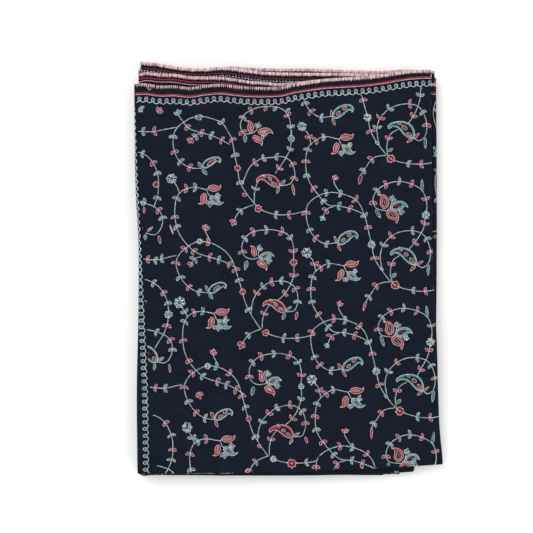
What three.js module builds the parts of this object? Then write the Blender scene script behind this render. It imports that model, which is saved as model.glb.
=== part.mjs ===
// Embroidered cashmere stole, folded flat.
//
// One rectangle of twill is doubled along its length, so that its two selvedges lie together at
// the far side and the lengthwise fold lies at the near side. The doubled cloth is then folded
// to and fro into seven panels, with its first short end on top at the left.
//
// Millimetres. +X runs along the panels, +Y towards the selvedges, +Z up. The origin is on the
// surface that the pack rests on, under the middle of the pack.

import * as THREE from 'three';

// ---------------------------------------------------------------- driving dimensions

const CLOTH = 1.0;                    // twill with its embroidery
const AIR = 0.4;                      // between cloths that lie on each other
const PITCH = CLOTH + AIR;            // from one cloth to the next
const SEAM = 0.3;                     // between two panels where a fold carries on
const HIDDEN_CLOTHS = 8;              // panels four to seven, two cloths each
const HIDDEN_HEIGHT = HIDDEN_CLOTHS * PITCH - AIR;
const FOLD_REACH = 1.5 * PITCH + CLOTH / 2;   // outer face of a side fold, from its axis
const EDGE_REACH = PITCH / 2 + CLOTH / 2;     // outer face of the lengthwise fold, likewise
const NOTCH = 2.4;                    // how far the air between two hidden cloths goes in

// The near right corner has fewer hidden cloths under it, so it sags: the sag begins at a
// line across the corner, so far out along its diagonal, and deepens towards the corner.
const SAG = { start: 130, reach: 95, depth: 7.5 };

const ROUNDING = [0.1, 0.5, 0.9];     // heights in each hidden cloth that shape its edge
const TOP_RINGS = [1, 0.95, 0.89, 0.82, 0.73, 0.6, 0.4];   // sizes of the rings over the top

// Steps along each stretch of cloth
const STEPS = { flat: 11, sideFold: 4, down: 9, edgeFold: 4, planCorner: 2 };
const NEARER = 1.5;                   // draws the steps down a panel closer near its fold

// Heights of the three panels that show: the middle between their two cloths
const LEVEL = {
  third: HIDDEN_HEIGHT + AIR + PITCH / 2 + CLOTH / 2,
  second: HIDDEN_HEIGHT + AIR + 2.5 * PITCH + CLOTH / 2,
  front: HIDDEN_HEIGHT + AIR + 4.5 * PITCH + CLOTH / 2,
};

// Outer edges across the stole, from near to far: its first short end, then each fold on to
// the next panel. Two panels that share a fold share its line.
const SIDE_LINES = {
  firstEnd: [
    { y: -185, x: -138 }, { y: -110, x: -138.7 }, { y: -50, x: -137.5 }, { y: 20, x: -137 },
    { y: 85, x: -140 }, { y: 168, x: -141 },
  ],
  frontToSecond: [
    { y: -177, x: 141.2 }, { y: -135, x: 137 }, { y: -60, x: 134.3 }, { y: 0, x: 131 },
    { y: 100, x: 129.5 }, { y: 181, x: 129.2 },
  ],
  secondToThird: [{ y: -186, x: -136.7 }, { y: 0, x: -136 }, { y: 180, x: -137.3 }],
  thirdToFourth: [
    { y: -186, x: 115 }, { y: -165, x: 127 }, { y: -120, x: 133.5 }, { y: -40, x: 134.7 },
    { y: 60, x: 135.2 }, { y: 181, x: 134.5 },
  ],
};

// The panels that show. Their far and near edges run from left to right: the selvedges of
// the upper and lower cloth, and the lengthwise fold that joins the two.
const FRONT = {
  colour: 0x1b2029,
  upperFar: [
    { x: -141, y: 167.5 }, { x: -118, y: 168.5 }, { x: -90, y: 165 }, { x: -54, y: 168.5 },
    { x: -17, y: 165 }, { x: 10, y: 170 }, { x: 45, y: 173 }, { x: 88, y: 177.5 }, { x: 130, y: 181 },
  ],
  lowerFar: [{ x: -141, y: 162 }, { x: 10, y: 164 }, { x: 130, y: 175 }],
  near: [{ x: -138, y: -184 }, { x: 0, y: -182 }, { x: 85, y: -179 }, { x: 141, y: -176.5 }],
  left: { line: SIDE_LINES.firstEnd, turn: 'down' },
  right: { line: SIDE_LINES.frontToSecond, turn: 'down' },
};

const SECOND = {
  colour: 0x20262f,
  upperFar: [
    { x: -137, y: 179 }, { x: -126, y: 181.5 }, { x: -98, y: 176.5 }, { x: -45, y: 174.5 },
    { x: -15, y: 171.5 }, { x: 28, y: 174.5 }, { x: 88, y: 178 }, { x: 130, y: 178.5 },
  ],
  lowerFar: [
    { x: -137, y: 190 }, { x: -112, y: 187 }, { x: -80, y: 184 }, { x: -56, y: 185.5 },
    { x: -20, y: 181.5 }, { x: 46, y: 180.5 }, { x: 130, y: 179 },
  ],
  near: [{ x: -137, y: -185 }, { x: 0, y: -183 }, { x: 85, y: -179.5 }, { x: 139, y: -176 }],
  left: { line: SIDE_LINES.secondToThird, turn: 'down' },
  right: { line: SIDE_LINES.frontToSecond, turn: 'up' },
};

const THIRD = {
  colour: 0x232a35,
  upperFar: [{ x: -137, y: 173 }, { x: -20, y: 170 }, { x: 80, y: 173 }, { x: 135, y: 171.5 }],
  lowerFar: [
    { x: -137, y: 184 }, { x: -85, y: 183 }, { x: -56, y: 186 }, { x: 10, y: 186.5 },
    { x: 90, y: 184 }, { x: 135, y: 182.5 },
  ],
  near: [{ x: -137, y: -186 }, { x: 0, y: -186.5 }, { x: 80, y: -185.5 }, { x: 116, y: -184 }],
  left: { line: SIDE_LINES.secondToThird, turn: 'up' },
  right: { line: SIDE_LINES.thirdToFourth, turn: 'down' },
};

// Plans of the hidden panels, from the surface up. Each has the same six corners: far left,
// far right, where the right edge starts to draw in, near right, and two at the near left.
const HIDDEN_PLANS = [
  [
    { x: -137, y: 182, round: 5 }, { x: 130, y: 181, round: 6 }, { x: 127, y: -100, round: 30 },
    { x: 87, y: -188.2, round: 3 }, { x: -130, y: -187, round: 1.5 }, { x: -137, y: -191.8, round: 4.5 },
  ],
  [
    { x: -136, y: 180, round: 5 }, { x: 133, y: 180, round: 6 }, { x: 130, y: -110, round: 30 },
    { x: 102, y: -187, round: 3 }, { x: -130, y: -186.6, round: 1.5 }, { x: -136, y: -186, round: 3.2 },
  ],
  [
    { x: -136.5, y: 183, round: 5 }, { x: 133, y: 181, round: 6 }, { x: 131, y: -110, round: 30 },
    { x: 104, y: -186.5, round: 3 }, { x: -130, y: -186, round: 1.5 }, { x: -136, y: -185.5, round: 3.2 },
  ],
  [
    { x: -137, y: 181, round: 5 }, { x: 134.5, y: 182, round: 6 }, { x: 133.5, y: -110, round: 30 },
    { x: 115.5, y: -184, round: 3 }, { x: -130, y: -186, round: 1.5 }, { x: -136, y: -185.5, round: 3.2 },
  ],
];

// Sides of a hidden plan, each from its corner to the next.
const PLAN_SIDES = [
  { side: 'far', steps: 8 }, { side: 'right', steps: 8 }, { side: 'right', steps: 4 },
  { side: 'near', steps: 8 }, { side: 'near', steps: 1 }, { side: 'left', steps: 10 },
];

// Rounded edges on each side of the hidden panels: the cloths that one fold takes in. The
// top fold on the right carries on into the third panel.
const HIDDEN_FOLDS = {
  far: [[0, 0], [1, 1], [2, 2], [3, 3], [4, 4], [5, 5], [6, 6], [7, 7]],
  right: [[0, 0], [1, 1], [2, 5], [6, 9]],
  near: [[0, 1], [2, 3], [4, 5], [6, 7]],
  left: [[0, 3], [4, 7]],
};

// ---------------------------------------------------------------- curves and surfaces

// A smooth curve through the rows of a table: the value of `to` where `from` is `at`.
function along(rows, from, to, at) {
  const last = rows.length - 1;
  const held = THREE.MathUtils.clamp(at, rows[0][from], rows[last][from]);
  let k = 0;
  while (k < last - 1 && held > rows[k + 1][from]) k += 1;
  const slope = (a, b) => (rows[b][to] - rows[a][to]) / (rows[b][from] - rows[a][from]);
  const tangent = (i) => slope(Math.max(i - 1, 0), Math.min(i + 1, last));
  const span = rows[k + 1][from] - rows[k][from];
  const t = (held - rows[k][from]) / span;
  const rise = t * t * (3 - 2 * t);
  const start = t * (1 - t) * (1 - t) * tangent(k) * span;
  const end = t * t * (t - 1) * tangent(k + 1) * span;
  return rows[k][to] + (rows[k + 1][to] - rows[k][to]) * rise + start + end;
}

// How far the pack sags at a point of its plan.
function sag(x, y) {
  const past = Math.max(0, (x - y) * Math.SQRT1_2 - SAG.start);
  return SAG.depth * (past / SAG.reach) ** 2;
}

const steps = (count) => Array.from({ length: count + 1 }, (_, i) => i / count);

// A closed solid from rings of points, from the lowest up, each clockwise as seen from above:
// each ring joins the next, and a fan closes both ends.
function ringSolid(rings, startPoint, endPoint) {
  const around = rings[0].length;
  const points = [startPoint, ...rings.flat(), endPoint];
  const faces = [];
  const at = (ring, i) => 1 + ring * around + (i % around);
  for (let i = 0; i < around; i += 1) {
    faces.push(0, at(0, i), at(0, i + 1));
    faces.push(points.length - 1, at(rings.length - 1, i + 1), at(rings.length - 1, i));
    for (let ring = 0; ring < rings.length - 1; ring += 1) {
      faces.push(at(ring, i), at(ring + 1, i + 1), at(ring, i + 1));
      faces.push(at(ring, i), at(ring + 1, i), at(ring + 1, i + 1));
    }
  }
  return meshGeometry(points, faces);
}

function meshGeometry(points, faces) {
  const geometry = new THREE.BufferGeometry().setFromPoints(points);
  geometry.setIndex(faces);
  geometry.computeVertexNormals();
  return geometry;
}

// The direction of a row of points at one of them; at an end, from the last three.
function direction(points, k) {
  const last = points.length - 1;
  if (k > 0 && k < last) return points[k + 1].clone().sub(points[k - 1]);
  const inwards = k === 0 ? 1 : -1;
  const slope = points[k + inwards].clone().multiplyScalar(4);
  slope.addScaledVector(points[k], -3).sub(points[k + 2 * inwards]);
  return slope.multiplyScalar(inwards);
}

// A cloth wall on a grid of middle points: both faces half a wall away along the normal,
// joined by a rim all round.
function clothSolid(grid) {
  const columns = grid.length;
  const rows = grid[0].length;
  const normal = (i, j) => {
    const across = direction(grid.map((column) => column[j]), i);
    return direction(grid[i], j).cross(across).normalize();
  };
  const outer = [];
  const inner = [];
  for (let i = 0; i < columns; i += 1) {
    for (let j = 0; j < rows; j += 1) {
      const offset = normal(i, j).multiplyScalar(CLOTH / 2);
      outer.push(grid[i][j].clone().add(offset));
      inner.push(grid[i][j].clone().sub(offset));
    }
  }
  const faces = [];
  const quad = (a, b, c, d) => faces.push(a, b, c, a, c, d);
  const out = (i, j) => i * rows + j;
  const back = (i, j) => columns * rows + i * rows + j;
  for (let i = 0; i < columns - 1; i += 1) {
    for (let j = 0; j < rows - 1; j += 1) {
      quad(out(i, j), out(i, j + 1), out(i + 1, j + 1), out(i + 1, j));
      quad(back(i, j), back(i + 1, j), back(i + 1, j + 1), back(i, j + 1));
    }
    quad(out(i, 0), out(i + 1, 0), back(i + 1, 0), back(i, 0));
    quad(out(i + 1, rows - 1), out(i, rows - 1), back(i, rows - 1), back(i + 1, rows - 1));
  }
  for (let j = 0; j < rows - 1; j += 1) {
    quad(out(0, j + 1), out(0, j), back(0, j), back(0, j + 1));
    quad(out(columns - 1, j), out(columns - 1, j + 1), back(columns - 1, j + 1), back(columns - 1, j));
  }
  return meshGeometry([...outer, ...inner], faces);
}

// ---------------------------------------------------------------- the panels that show

// Stations down a doubled panel: along the upper cloth from its selvedge, round the
// lengthwise fold, and back along the lower cloth. `far` runs from 0 at the fold to 1 at the
// selvedge, and `swing` is the angle turned round the fold.
function panelStations() {
  const upper = steps(STEPS.down).slice(0, -1).map((t) => ({
    cloth: 'upperFar', far: (1 - t) ** NEARER, swing: 0,
  }));
  const round = steps(STEPS.edgeFold).map((t) => ({
    cloth: t < 0.5 ? 'upperFar' : 'lowerFar', far: 0, swing: Math.PI * t,
  }));
  const lower = steps(STEPS.down).slice(1).map((t) => ({
    cloth: 'lowerFar', far: t ** NEARER, swing: Math.PI,
  }));
  return [...upper, ...round, ...lower];
}

// Stations across a panel: through the left fold, over the flat, and through the right fold.
function panelColumns() {
  const left = steps(STEPS.sideFold).slice(0, -1).map((t) => ({ side: 'left', turn: 1 - t, across: 0 }));
  const flat = steps(STEPS.flat).map((t) => ({ side: 'flat', turn: 0, across: t }));
  const right = steps(STEPS.sideFold).slice(1).map((t) => ({ side: 'right', turn: t, across: 1 }));
  return [...left, ...flat, ...right];
}

// The middle of the cloth at one column and one station of a doubled panel.
function panelPoint(panel, level, column, station) {
  const roughX = THREE.MathUtils.lerp(panel.left.line[0].x, panel.right.line[0].x, column.across);
  const nearY = along(panel.near, 'x', 'y', roughX) + EDGE_REACH;
  const farY = along(panel[station.cloth], 'x', 'y', roughX);
  const y = THREE.MathUtils.lerp(nearY, farY, station.far) - (PITCH / 2) * Math.sin(station.swing);
  const height = (PITCH / 2) * Math.cos(station.swing);

  const leftAxis = along(panel.left.line, 'y', 'x', y) + FOLD_REACH;
  const rightAxis = along(panel.right.line, 'y', 'x', y) - FOLD_REACH;
  const x = THREE.MathUtils.lerp(leftAxis, rightAxis, column.across);
  if (column.side === 'flat') {
    return new THREE.Vector3(x, y, level + height - sag(x, y));
  }
  const way = panel[column.side].turn === 'up' ? 1 : -1;
  const radius = PITCH - way * height;
  const lastAngle = Math.acos(Math.min(1, SEAM / 2 / (radius - CLOTH / 2)));
  const angle = column.turn * lastAngle;
  const outwards = column.side === 'left' ? -1 : 1;
  return new THREE.Vector3(
    x + outwards * radius * Math.sin(angle),
    y,
    level + way * (PITCH - radius * Math.cos(angle)) - sag(x, y),
  );
}

function doubledPanel(name, panel, level) {
  const stations = panelStations();
  const grid = panelColumns().map((column) => stations.map(
    (station) => panelPoint(panel, level, column, station),
  ));
  return clothMesh(name, clothSolid(grid), panel.colour);
}

// ---------------------------------------------------------------- the hidden panels

// The outline of one hidden panel, clockwise from its far left corner as seen from above.
// Each point says which sides it is on, so that the edges can differ from side to side.
function hiddenOutline(corners) {
  const points = corners.map(({ x, y }) => new THREE.Vector2(x, y));
  const towards = (from, to, length) => to.clone().sub(from).setLength(length).add(from);
  const outline = [];
  corners.forEach(({ round }, k) => {
    const before = (k + corners.length - 1) % corners.length;
    const after = (k + 1) % corners.length;
    const bend = new THREE.QuadraticBezierCurve(
      towards(points[k], points[before], round), points[k], towards(points[k], points[after], round),
    );
    const sides = [PLAN_SIDES[before].side, PLAN_SIDES[k].side];
    steps(STEPS.planCorner).forEach((t) => outline.push({ at: bend.getPoint(t), sides, blend: t }));
    const end = towards(points[after], points[k], corners[after].round);
    steps(PLAN_SIDES[k].steps).slice(1, -1).forEach((t) => outline.push({
      at: bend.v2.clone().lerp(end, t), sides, blend: 1,
    }));
  });
  return outline;
}

// How far the edge of one side lies inside the plan at a height: a rounded edge for each
// fold, and a notch in the air between two folds.
function edgeInset(side, height) {
  for (const [first, last] of HIDDEN_FOLDS[side]) {
    const bottom = first * PITCH;
    const top = last * PITCH + CLOTH;
    if (height >= bottom && height <= top) {
      const half = (top - bottom) / 2;
      const off = (height - bottom - half) / half;
      return half * (1 - Math.sqrt(1 - off * off));
    }
  }
  return NOTCH;
}

// One ring of the hidden solid between the outlines of the panels just below and just above
// a height, at its full size or drawn in towards the middle of the pack.
function hiddenRing(below, above, height, size = 1) {
  const centre = new THREE.Vector2(0, 0);
  const count = below.length;
  return below.map((point, i) => {
    const at = point.at.clone().lerp(above[i].at, 0.5);
    const [start, end] = point.sides.map((side) => edgeInset(side, height));
    const inset = THREE.MathUtils.lerp(start, end, point.blend);
    const edge = below[(i + 1) % count].at.clone().sub(below[(i + count - 1) % count].at);
    at.add(edge.rotateAround(centre, -Math.PI / 2).setLength(inset)).multiplyScalar(size);
    return new THREE.Vector3(at.x, at.y, height * (1 - sag(at.x, at.y) / HIDDEN_HEIGHT));
  });
}

// Panels four to seven share one solid with a flat underside and leaved, rounded edges.
function hiddenLayers() {
  const outlines = HIDDEN_PLANS.map(hiddenOutline);
  const rings = [hiddenRing(outlines[0], outlines[0], 0)];
  for (let cloth = 0; cloth < HIDDEN_CLOTHS; cloth += 1) {
    const own = outlines[Math.floor(cloth / 2)];
    const next = outlines[Math.floor((cloth + 1) / 2)];
    ROUNDING.forEach((part) => rings.push(hiddenRing(own, own, cloth * PITCH + part * CLOTH)));
    if (next) rings.push(hiddenRing(own, next, cloth * PITCH + CLOTH + AIR / 2));
  }
  const top = outlines[outlines.length - 1];
  TOP_RINGS.forEach((size) => rings.push(hiddenRing(top, top, HIDDEN_HEIGHT, size)));
  const solid = ringSolid(rings, new THREE.Vector3(0, 0, 0), new THREE.Vector3(0, 0, HIDDEN_HEIGHT));
  return clothMesh('hidden_layers', solid, 0x171b23);
}

function clothMesh(name, geometry, colour) {
  const material = new THREE.MeshStandardMaterial({
    color: colour, roughness: 0.92, metalness: 0, side: THREE.DoubleSide,
  });
  const mesh = new THREE.Mesh(geometry, material);
  mesh.name = name;
  return mesh;
}

const stole = new THREE.Group();
stole.name = 'folded_stole';
stole.add(doubledPanel('front_panel', FRONT, LEVEL.front));
stole.add(doubledPanel('second_panel', SECOND, LEVEL.second));
stole.add(doubledPanel('third_panel', THIRD, LEVEL.third));
stole.add(hiddenLayers());

export default stole;
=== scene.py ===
# %% [markdown]
# # An embroidered cashmere stole, folded flat
#
# The stole is one rectangle of fine twill, about 74 cm by 191 cm. It is doubled along its
# length, so that both selvedges lie together, and the doubled cloth is folded to and fro into
# seven panels. The whole right side is covered with a scrolling vine in coloured silks.
#
# This lesson builds it as it is made: first the cloth, folded up as one sheet, then the
# stitches, charted once as a small repeat and laid on the folded cloth, then the edges. The
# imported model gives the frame: its box, its four nodes and the size of everything.

# %% Load the frame
import math

import bmesh
import bpy
import numpy as np
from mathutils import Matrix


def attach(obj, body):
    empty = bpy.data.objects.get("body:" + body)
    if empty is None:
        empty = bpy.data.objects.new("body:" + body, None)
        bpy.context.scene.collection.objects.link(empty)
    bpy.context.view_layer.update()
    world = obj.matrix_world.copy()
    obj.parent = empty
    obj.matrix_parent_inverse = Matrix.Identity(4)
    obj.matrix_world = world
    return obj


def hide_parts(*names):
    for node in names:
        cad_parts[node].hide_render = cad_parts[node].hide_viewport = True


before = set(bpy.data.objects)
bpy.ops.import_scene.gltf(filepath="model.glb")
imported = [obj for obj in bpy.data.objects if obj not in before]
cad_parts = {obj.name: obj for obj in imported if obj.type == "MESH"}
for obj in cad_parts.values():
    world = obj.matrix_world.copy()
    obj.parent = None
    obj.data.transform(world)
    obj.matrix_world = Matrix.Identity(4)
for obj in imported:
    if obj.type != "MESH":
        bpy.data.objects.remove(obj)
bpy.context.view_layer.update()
print("frame nodes:", sorted(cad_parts))

MM = 0.001                            # the tables below are in millimetres

# %% [markdown]
# ## Camera, lights and floor
#
# A folded stole is shown from straight above on a pale table. One wide soft light hangs over
# the far left, a weaker one opposite, and a bright sky fills the shadows, as in a studio tent.

# %% Camera, lights and floor
CAMERA = {"at": (-20.6, 4.5, 1162.0), "lens": 85, "sensor_width": 36}
LIGHTS = [                            # name, place and size in metres, power in watts
    ("key_light", (-0.9, 1.2, 2.0), 2.0, 30),
    ("fill_light", (1.5, -1.2, 1.7), 1.6, 12),
]
SKY_STRENGTH = 0.92
FLOOR_SIZE = 6.0
FLOOR_COLOUR = (0.9, 0.9, 0.9, 1)
SILK_ROOM = 0.30                      # the table lies this far down, for the silk under the pack


def show(name, data):
    """A new object with this data, in the scene."""
    obj = bpy.data.objects.new(name, data)
    bpy.context.collection.objects.link(obj)
    return obj


def grid(name, across, down, size, z=0.0):
    """A flat square of across by down cells, at a height in metres."""
    sketch = bmesh.new()
    bmesh.ops.create_grid(sketch, x_segments=across, y_segments=down, size=size / 2)
    bmesh.ops.translate(sketch, verts=sketch.verts[:], vec=(0, 0, z))
    obj = show(name, bpy.data.meshes.new(name))
    sketch.to_mesh(obj.data)
    sketch.free()
    return obj


camera = show("camera", bpy.data.cameras.new("camera"))
camera.data.lens = CAMERA["lens"]
camera.data.sensor_width = CAMERA["sensor_width"]
camera.location = [value * MM for value in CAMERA["at"]]
bpy.context.scene.camera = camera
bpy.context.scene.view_settings.view_transform = "Standard"

for name, at, size, power in LIGHTS:  # square soft lights that look at the middle of the pack
    light = show(name, bpy.data.lights.new(name, "AREA"))
    light.data.energy = power
    light.data.size = size
    light.location = at
    light.rotation_euler = (-light.location).to_track_quat("-Z", "Y").to_euler()

world = bpy.data.worlds.new("studio_sky")
bpy.context.scene.world = world
world.use_nodes = True
sky = world.node_tree.nodes["Background"].inputs
sky["Color"].default_value = (1, 1, 1, 1)
sky["Strength"].default_value = SKY_STRENGTH

floor = grid("floor", 1, 1, FLOOR_SIZE, -SILK_ROOM * MM)
floor_finish = bpy.data.materials.new("pale_table")
floor_finish.use_nodes = True
table_top = floor_finish.node_tree.nodes["Principled BSDF"].inputs
table_top["Base Color"].default_value = FLOOR_COLOUR
table_top["Roughness"].default_value = 0.9
floor.data.materials.append(floor_finish)
print("camera", round(camera.location.z, 3), "m above the table")

# %% [markdown]
# ## The fold plan
#
# A folded cloth is easiest to describe by its edges: where each panel's selvedges and its
# lengthwise fold run, and where the cloth turns back at the sides. A smooth curve through a
# few points gives each edge the slight wander that soft cloth has. The lines of the panels
# that lie hidden are guessed from those that show.

# %% Thicknesses and edges of the folded pack
CLOTH = 1.0                           # twill with its embroidery
AIR = 0.4                             # between cloths that lie on each other
PITCH = CLOTH + AIR
EDGE_RADIUS = PITCH / 2               # middle of the cloth round the lengthwise fold
FOLD_REACH = 1.5 * PITCH + CLOTH / 2  # outer face of a side fold, from its axis
EDGE_REACH = EDGE_RADIUS + CLOTH / 2  # outer face of the lengthwise fold, likewise
HIDDEN_TOP = 8 * PITCH - AIR          # top of the four lowest panels

SIDE_LINES = {                        # rows of (y, x), from near to far
    "first_end": [(-185, -138), (-110, -138.7), (-50, -137.5), (20, -137), (85, -140), (168, -141)],
    "first_fold": [(-177, 141.2), (-135, 137), (-60, 134.3), (0, 131), (100, 129.5), (181, 129.2)],
    "second_fold": [(-186, -136.7), (0, -136), (180, -137.3)],
    "third_fold": [(-186, 114.5), (-176, 116.5), (-155, 128), (-120, 133.5), (-40, 134.7),
                   (60, 135.2), (181, 134.5)],
    "fourth_fold": [(-186, -136.5), (0, -136.2), (182, -136.9)],
    "fifth_fold": [(-187, 102), (-177, 104), (-155, 121), (-110, 131), (60, 133), (181, 133)],
    "sixth_fold": [(-190, -136.6), (0, -136), (182, -136.6)],
    "last_end": [(-188, 87), (-178, 89), (-150, 111), (-100, 127), (60, 129.5), (182, 130)],
}
EDGES = [                             # of each panel, from left to right, rows of (x, y): its
                                      # upper selvedge, lower selvedge and near fold
    ("first",
     [(-141, 170.3), (-131, 170.6), (-118, 168.7), (-104, 168.7), (-90, 167.2), (-77, 169),
      (-63, 170.2), (-49, 168.8), (-36, 167.5), (-8, 167.5), (5, 170.4), (19, 172.6),
      (32, 174.6), (46, 175.6), (73, 177.4), (87, 179.2), (101, 181.4), (114, 182.7), (130, 183)],
     [(-141, 162), (10, 164), (130, 175)],
     [(-138, -184), (0, -182), (85, -179), (141, -176.5)]),
    ("second",
     [(-137, 179.5), (-131, 181.3), (-118, 180), (-104, 179.6), (-90, 177.5), (-63, 177),
      (-49, 175.3), (-36, 173.3), (-22, 172.3), (-8, 171), (28, 174.5), (88, 178), (130, 178.5)],
     [(-137, 191.3), (-118, 189.2), (-104, 186.8), (-90, 185.2), (-77, 185.2), (-60, 186.2),
      (-45, 184.6), (-20, 181.5), (46, 180.5), (130, 179)],
     [(-137, -185), (0, -183), (85, -179.5), (139, -176)]),
    ("third",
     [(-137, 173), (-20, 170), (80, 173), (135, 171.5)],
     [(-137, 184), (-85, 184), (-56, 187), (-36, 186), (-8, 185.1), (19, 185.1), (46, 184.1),
      (73, 183.3), (87, 183.3), (107, 184.2), (135, 182.8)],
     [(-137, -186), (0, -186.5), (80, -185.5), (116, -184)]),
    ("fourth",
     [(-137, 181), (0, 180), (134, 182)],
     [(-137, 179.5), (0, 181.5), (134, 180)],
     [(-137, -185.5), (0, -186), (115, -184)]),
    ("fifth",
     [(-137, 183), (0, 181.5), (133, 181)],
     [(-137, 181.5), (20, 180), (133, 182)],
     [(-136, -186), (0, -186.5), (104, -186.5)]),
    ("sixth",
     [(-136, 180), (0, 182), (133, 180)],
     [(-136, 181.5), (0, 180), (133, 181)],
     [(-136, -186), (0, -187), (102, -187)]),
    ("seventh",
     [(-137, 182), (0, 181), (130, 181)],
     [(-137, 180.5), (0, 182), (130, 180)],
     [(-137, -190.4), (-131, -187.5), (0, -187.5), (87, -188.2)]),
]


def panel(number, name, upper, lower, near):
    """One doubled panel: its edges, its side lines and which way each turns. The side folds
    are at the right and at the left in turn, and each turns up to the panel before."""
    before, after = list(SIDE_LINES)[number:number + 2]
    left, right = (before, after) if number % 2 == 0 else (after, before)
    way = {before: "up", after: "down", "first_end": "down", "last_end": "flat"}
    cloths_below = 2 * (len(EDGES) - 1 - number)
    return {"name": name, "level": cloths_below * PITCH + EDGE_RADIUS + CLOTH / 2,
            "upper": upper, "lower": lower, "near": near,
            "turns": {"left": way[left], "right": way[right]},
            "lines": {"left": SIDE_LINES[left], "right": SIDE_LINES[right]}}


PANELS = [panel(number, *row) for number, row in enumerate(EDGES)]
FIRST, SECOND, THIRD, LAST = PANELS[0], PANELS[1], PANELS[2], PANELS[-1]
print("panels:", ", ".join(f"{p['name']} at {p['level']:.1f} mm" for p in PANELS))

# %% [markdown]
# ## A curve through a table, and how the pack settles
#
# Each edge is a smooth curve through its rows. The pack isn't quite flat either: its near
# right corner has fewer folds under it and sags, and years of lying folded have left a
# few soft troughs. All panels share these, so that they never pass through each other.

# %% Curves and settling
SAG = {"start": 130, "reach": 95, "depth": 7.5}
TROUGHS = [                           # (x, y) of each end, half width, depth
    ((-52, 150), (-38, -110), 13, 0.9),
    ((60, 175), (48, 40), 16, 0.6),
    ((-130, -95), (10, -70), 15, 0.6),
    ((20, -120), (135, -95), 18, 0.7),
    ((-125, 60), (-60, 95), 14, 0.5),
]
TROUGH_FADE = {"from": 0.35, "over": 0.15}    # shares of a trough's length, from its middle
RIPPLES = [(43, 0.9, 0.16), (29, 2.3, 0.10), (71, 4.4, 0.22)]   # wave length, direction, height


def curve(rows, at):
    """The smooth curve through a table of (key, value) rows, read where the key is `at`."""
    keys, values = np.array(rows, float).T
    at = np.clip(at, keys[0], keys[-1])
    k = np.clip(np.searchsorted(keys, at) - 1, 0, len(keys) - 2)
    first = np.maximum(np.arange(len(keys)) - 1, 0)
    last = np.minimum(np.arange(len(keys)) + 1, len(keys) - 1)
    slope = (values[last] - values[first]) / (keys[last] - keys[first])
    span = keys[k + 1] - keys[k]
    t = (at - keys[k]) / span
    bend = t * (1 - t) ** 2 * slope[k] + t * t * (t - 1) * slope[k + 1]
    return values[k] + (values[k + 1] - values[k]) * t * t * (3 - 2 * t) + bend * span


def settle(x, y):
    """How far the top of the pack lies below its full height."""
    past = np.maximum(0, (x - y) * math.sqrt(0.5) - SAG["start"])
    drop = SAG["depth"] * (past / SAG["reach"]) ** 2
    for (x0, y0), (x1, y1), half_width, depth in TROUGHS:
        length = math.hypot(x1 - x0, y1 - y0)
        along = ((x - x0) * (x1 - x0) + (y - y0) * (y1 - y0)) / length ** 2
        off = ((x - x0) * (y1 - y0) - (y - y0) * (x1 - x0)) / length
        past_end = np.maximum(0, np.abs(along - 0.5) - TROUGH_FADE["from"])
        fade = np.exp(-(past_end / TROUGH_FADE["over"]) ** 2)
        drop = drop + depth * np.exp(-(off / half_width) ** 2) * fade
    for wave, way, height in RIPPLES:
        drop = drop + height * np.sin((x * math.cos(way) + y * math.sin(way)) * math.tau / wave)
    return drop


def settled(x, y, z):
    """A height in the pack after it has settled: the table carries the lowest cloth."""
    return z - settle(x, y) * np.minimum(z / HIDDEN_TOP, 1)


print("deepest settling", round(float(settle(np.array(130.0), np.array(-170.0))), 1), "mm")

# %% [markdown]
# ## Where a place on the flat cloth ends up
#
# The heart of the lesson is one function. It takes a place on a panel as if the cloth lay
# flat, `p` across the panel and `q` down it, and says where that place is in the folded pack.
# Past a fold's axis, `p` and `q` are measured round the fold. The cloth and every stitch use
# the same function, so the embroidery lies on the cloth, also round its edges.

# %% The fold function
PROBE = 0.05                          # step for measuring directions


def fold_way(pan, side):
    return 1 if pan["turns"][side] == "up" else -1


def fold_radius(pan, side, height):
    """Radius of a side fold, at a height over the middle between the panel's two cloths."""
    return PITCH - fold_way(pan, side) * height


def fold_height(pan, side, radius, angle):
    return pan["level"] + fold_way(pan, side) * (PITCH - radius * np.cos(angle))


def lay(pan, p, q):
    """The middle of the cloth, folded, at places (p, q) of one panel given flat."""
    p, q = np.broadcast_arrays(np.asarray(p, float), np.asarray(q, float))
    near = curve(pan["near"], p) + EDGE_REACH
    past = np.maximum(near - q, 0)
    swing = np.minimum(past / EDGE_RADIUS, math.pi)
    back = np.maximum(past - math.pi * EDGE_RADIUS, 0)
    y = np.maximum(q, near) - EDGE_RADIUS * np.sin(swing) + back
    height = EDGE_RADIUS * np.cos(swing)
    left = curve(pan["lines"]["left"], y) + FOLD_REACH
    right = curve(pan["lines"]["right"], y) - FOLD_REACH
    x = p
    z = pan["level"] + height
    for side, over, out in (("left", left - p, -1), ("right", p - right, 1)):
        if pan["turns"][side] != "flat":
            radius = fold_radius(pan, side, height)
            angle = np.clip(over / radius, 0, math.pi)
            beyond = np.maximum(over - math.pi * radius, 0)
            x = np.where(over > 0, p + out * (radius * np.sin(angle) - over - beyond), x)
            z = np.where(over > 0, fold_height(pan, side, radius, angle), z)
    return np.stack([x, y, settled(x, y, z)], -1)


def unit(vectors):
    return vectors / np.linalg.norm(vectors, axis=-1, keepdims=True)


def surface(pan, p, q, face):
    """A face of the cloth at (p, q), and the direction out of it. Face 1 is the right side,
    which is outermost on every panel, and face -1 the wrong side."""
    along = unit(lay(pan, p + PROBE, q) - lay(pan, p - PROBE, q))
    across = unit(lay(pan, p, q + PROBE) - lay(pan, p, q - PROBE))
    out = unit(np.cross(along, across))
    return lay(pan, p, q) + out * face * CLOTH / 2, out * face


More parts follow.
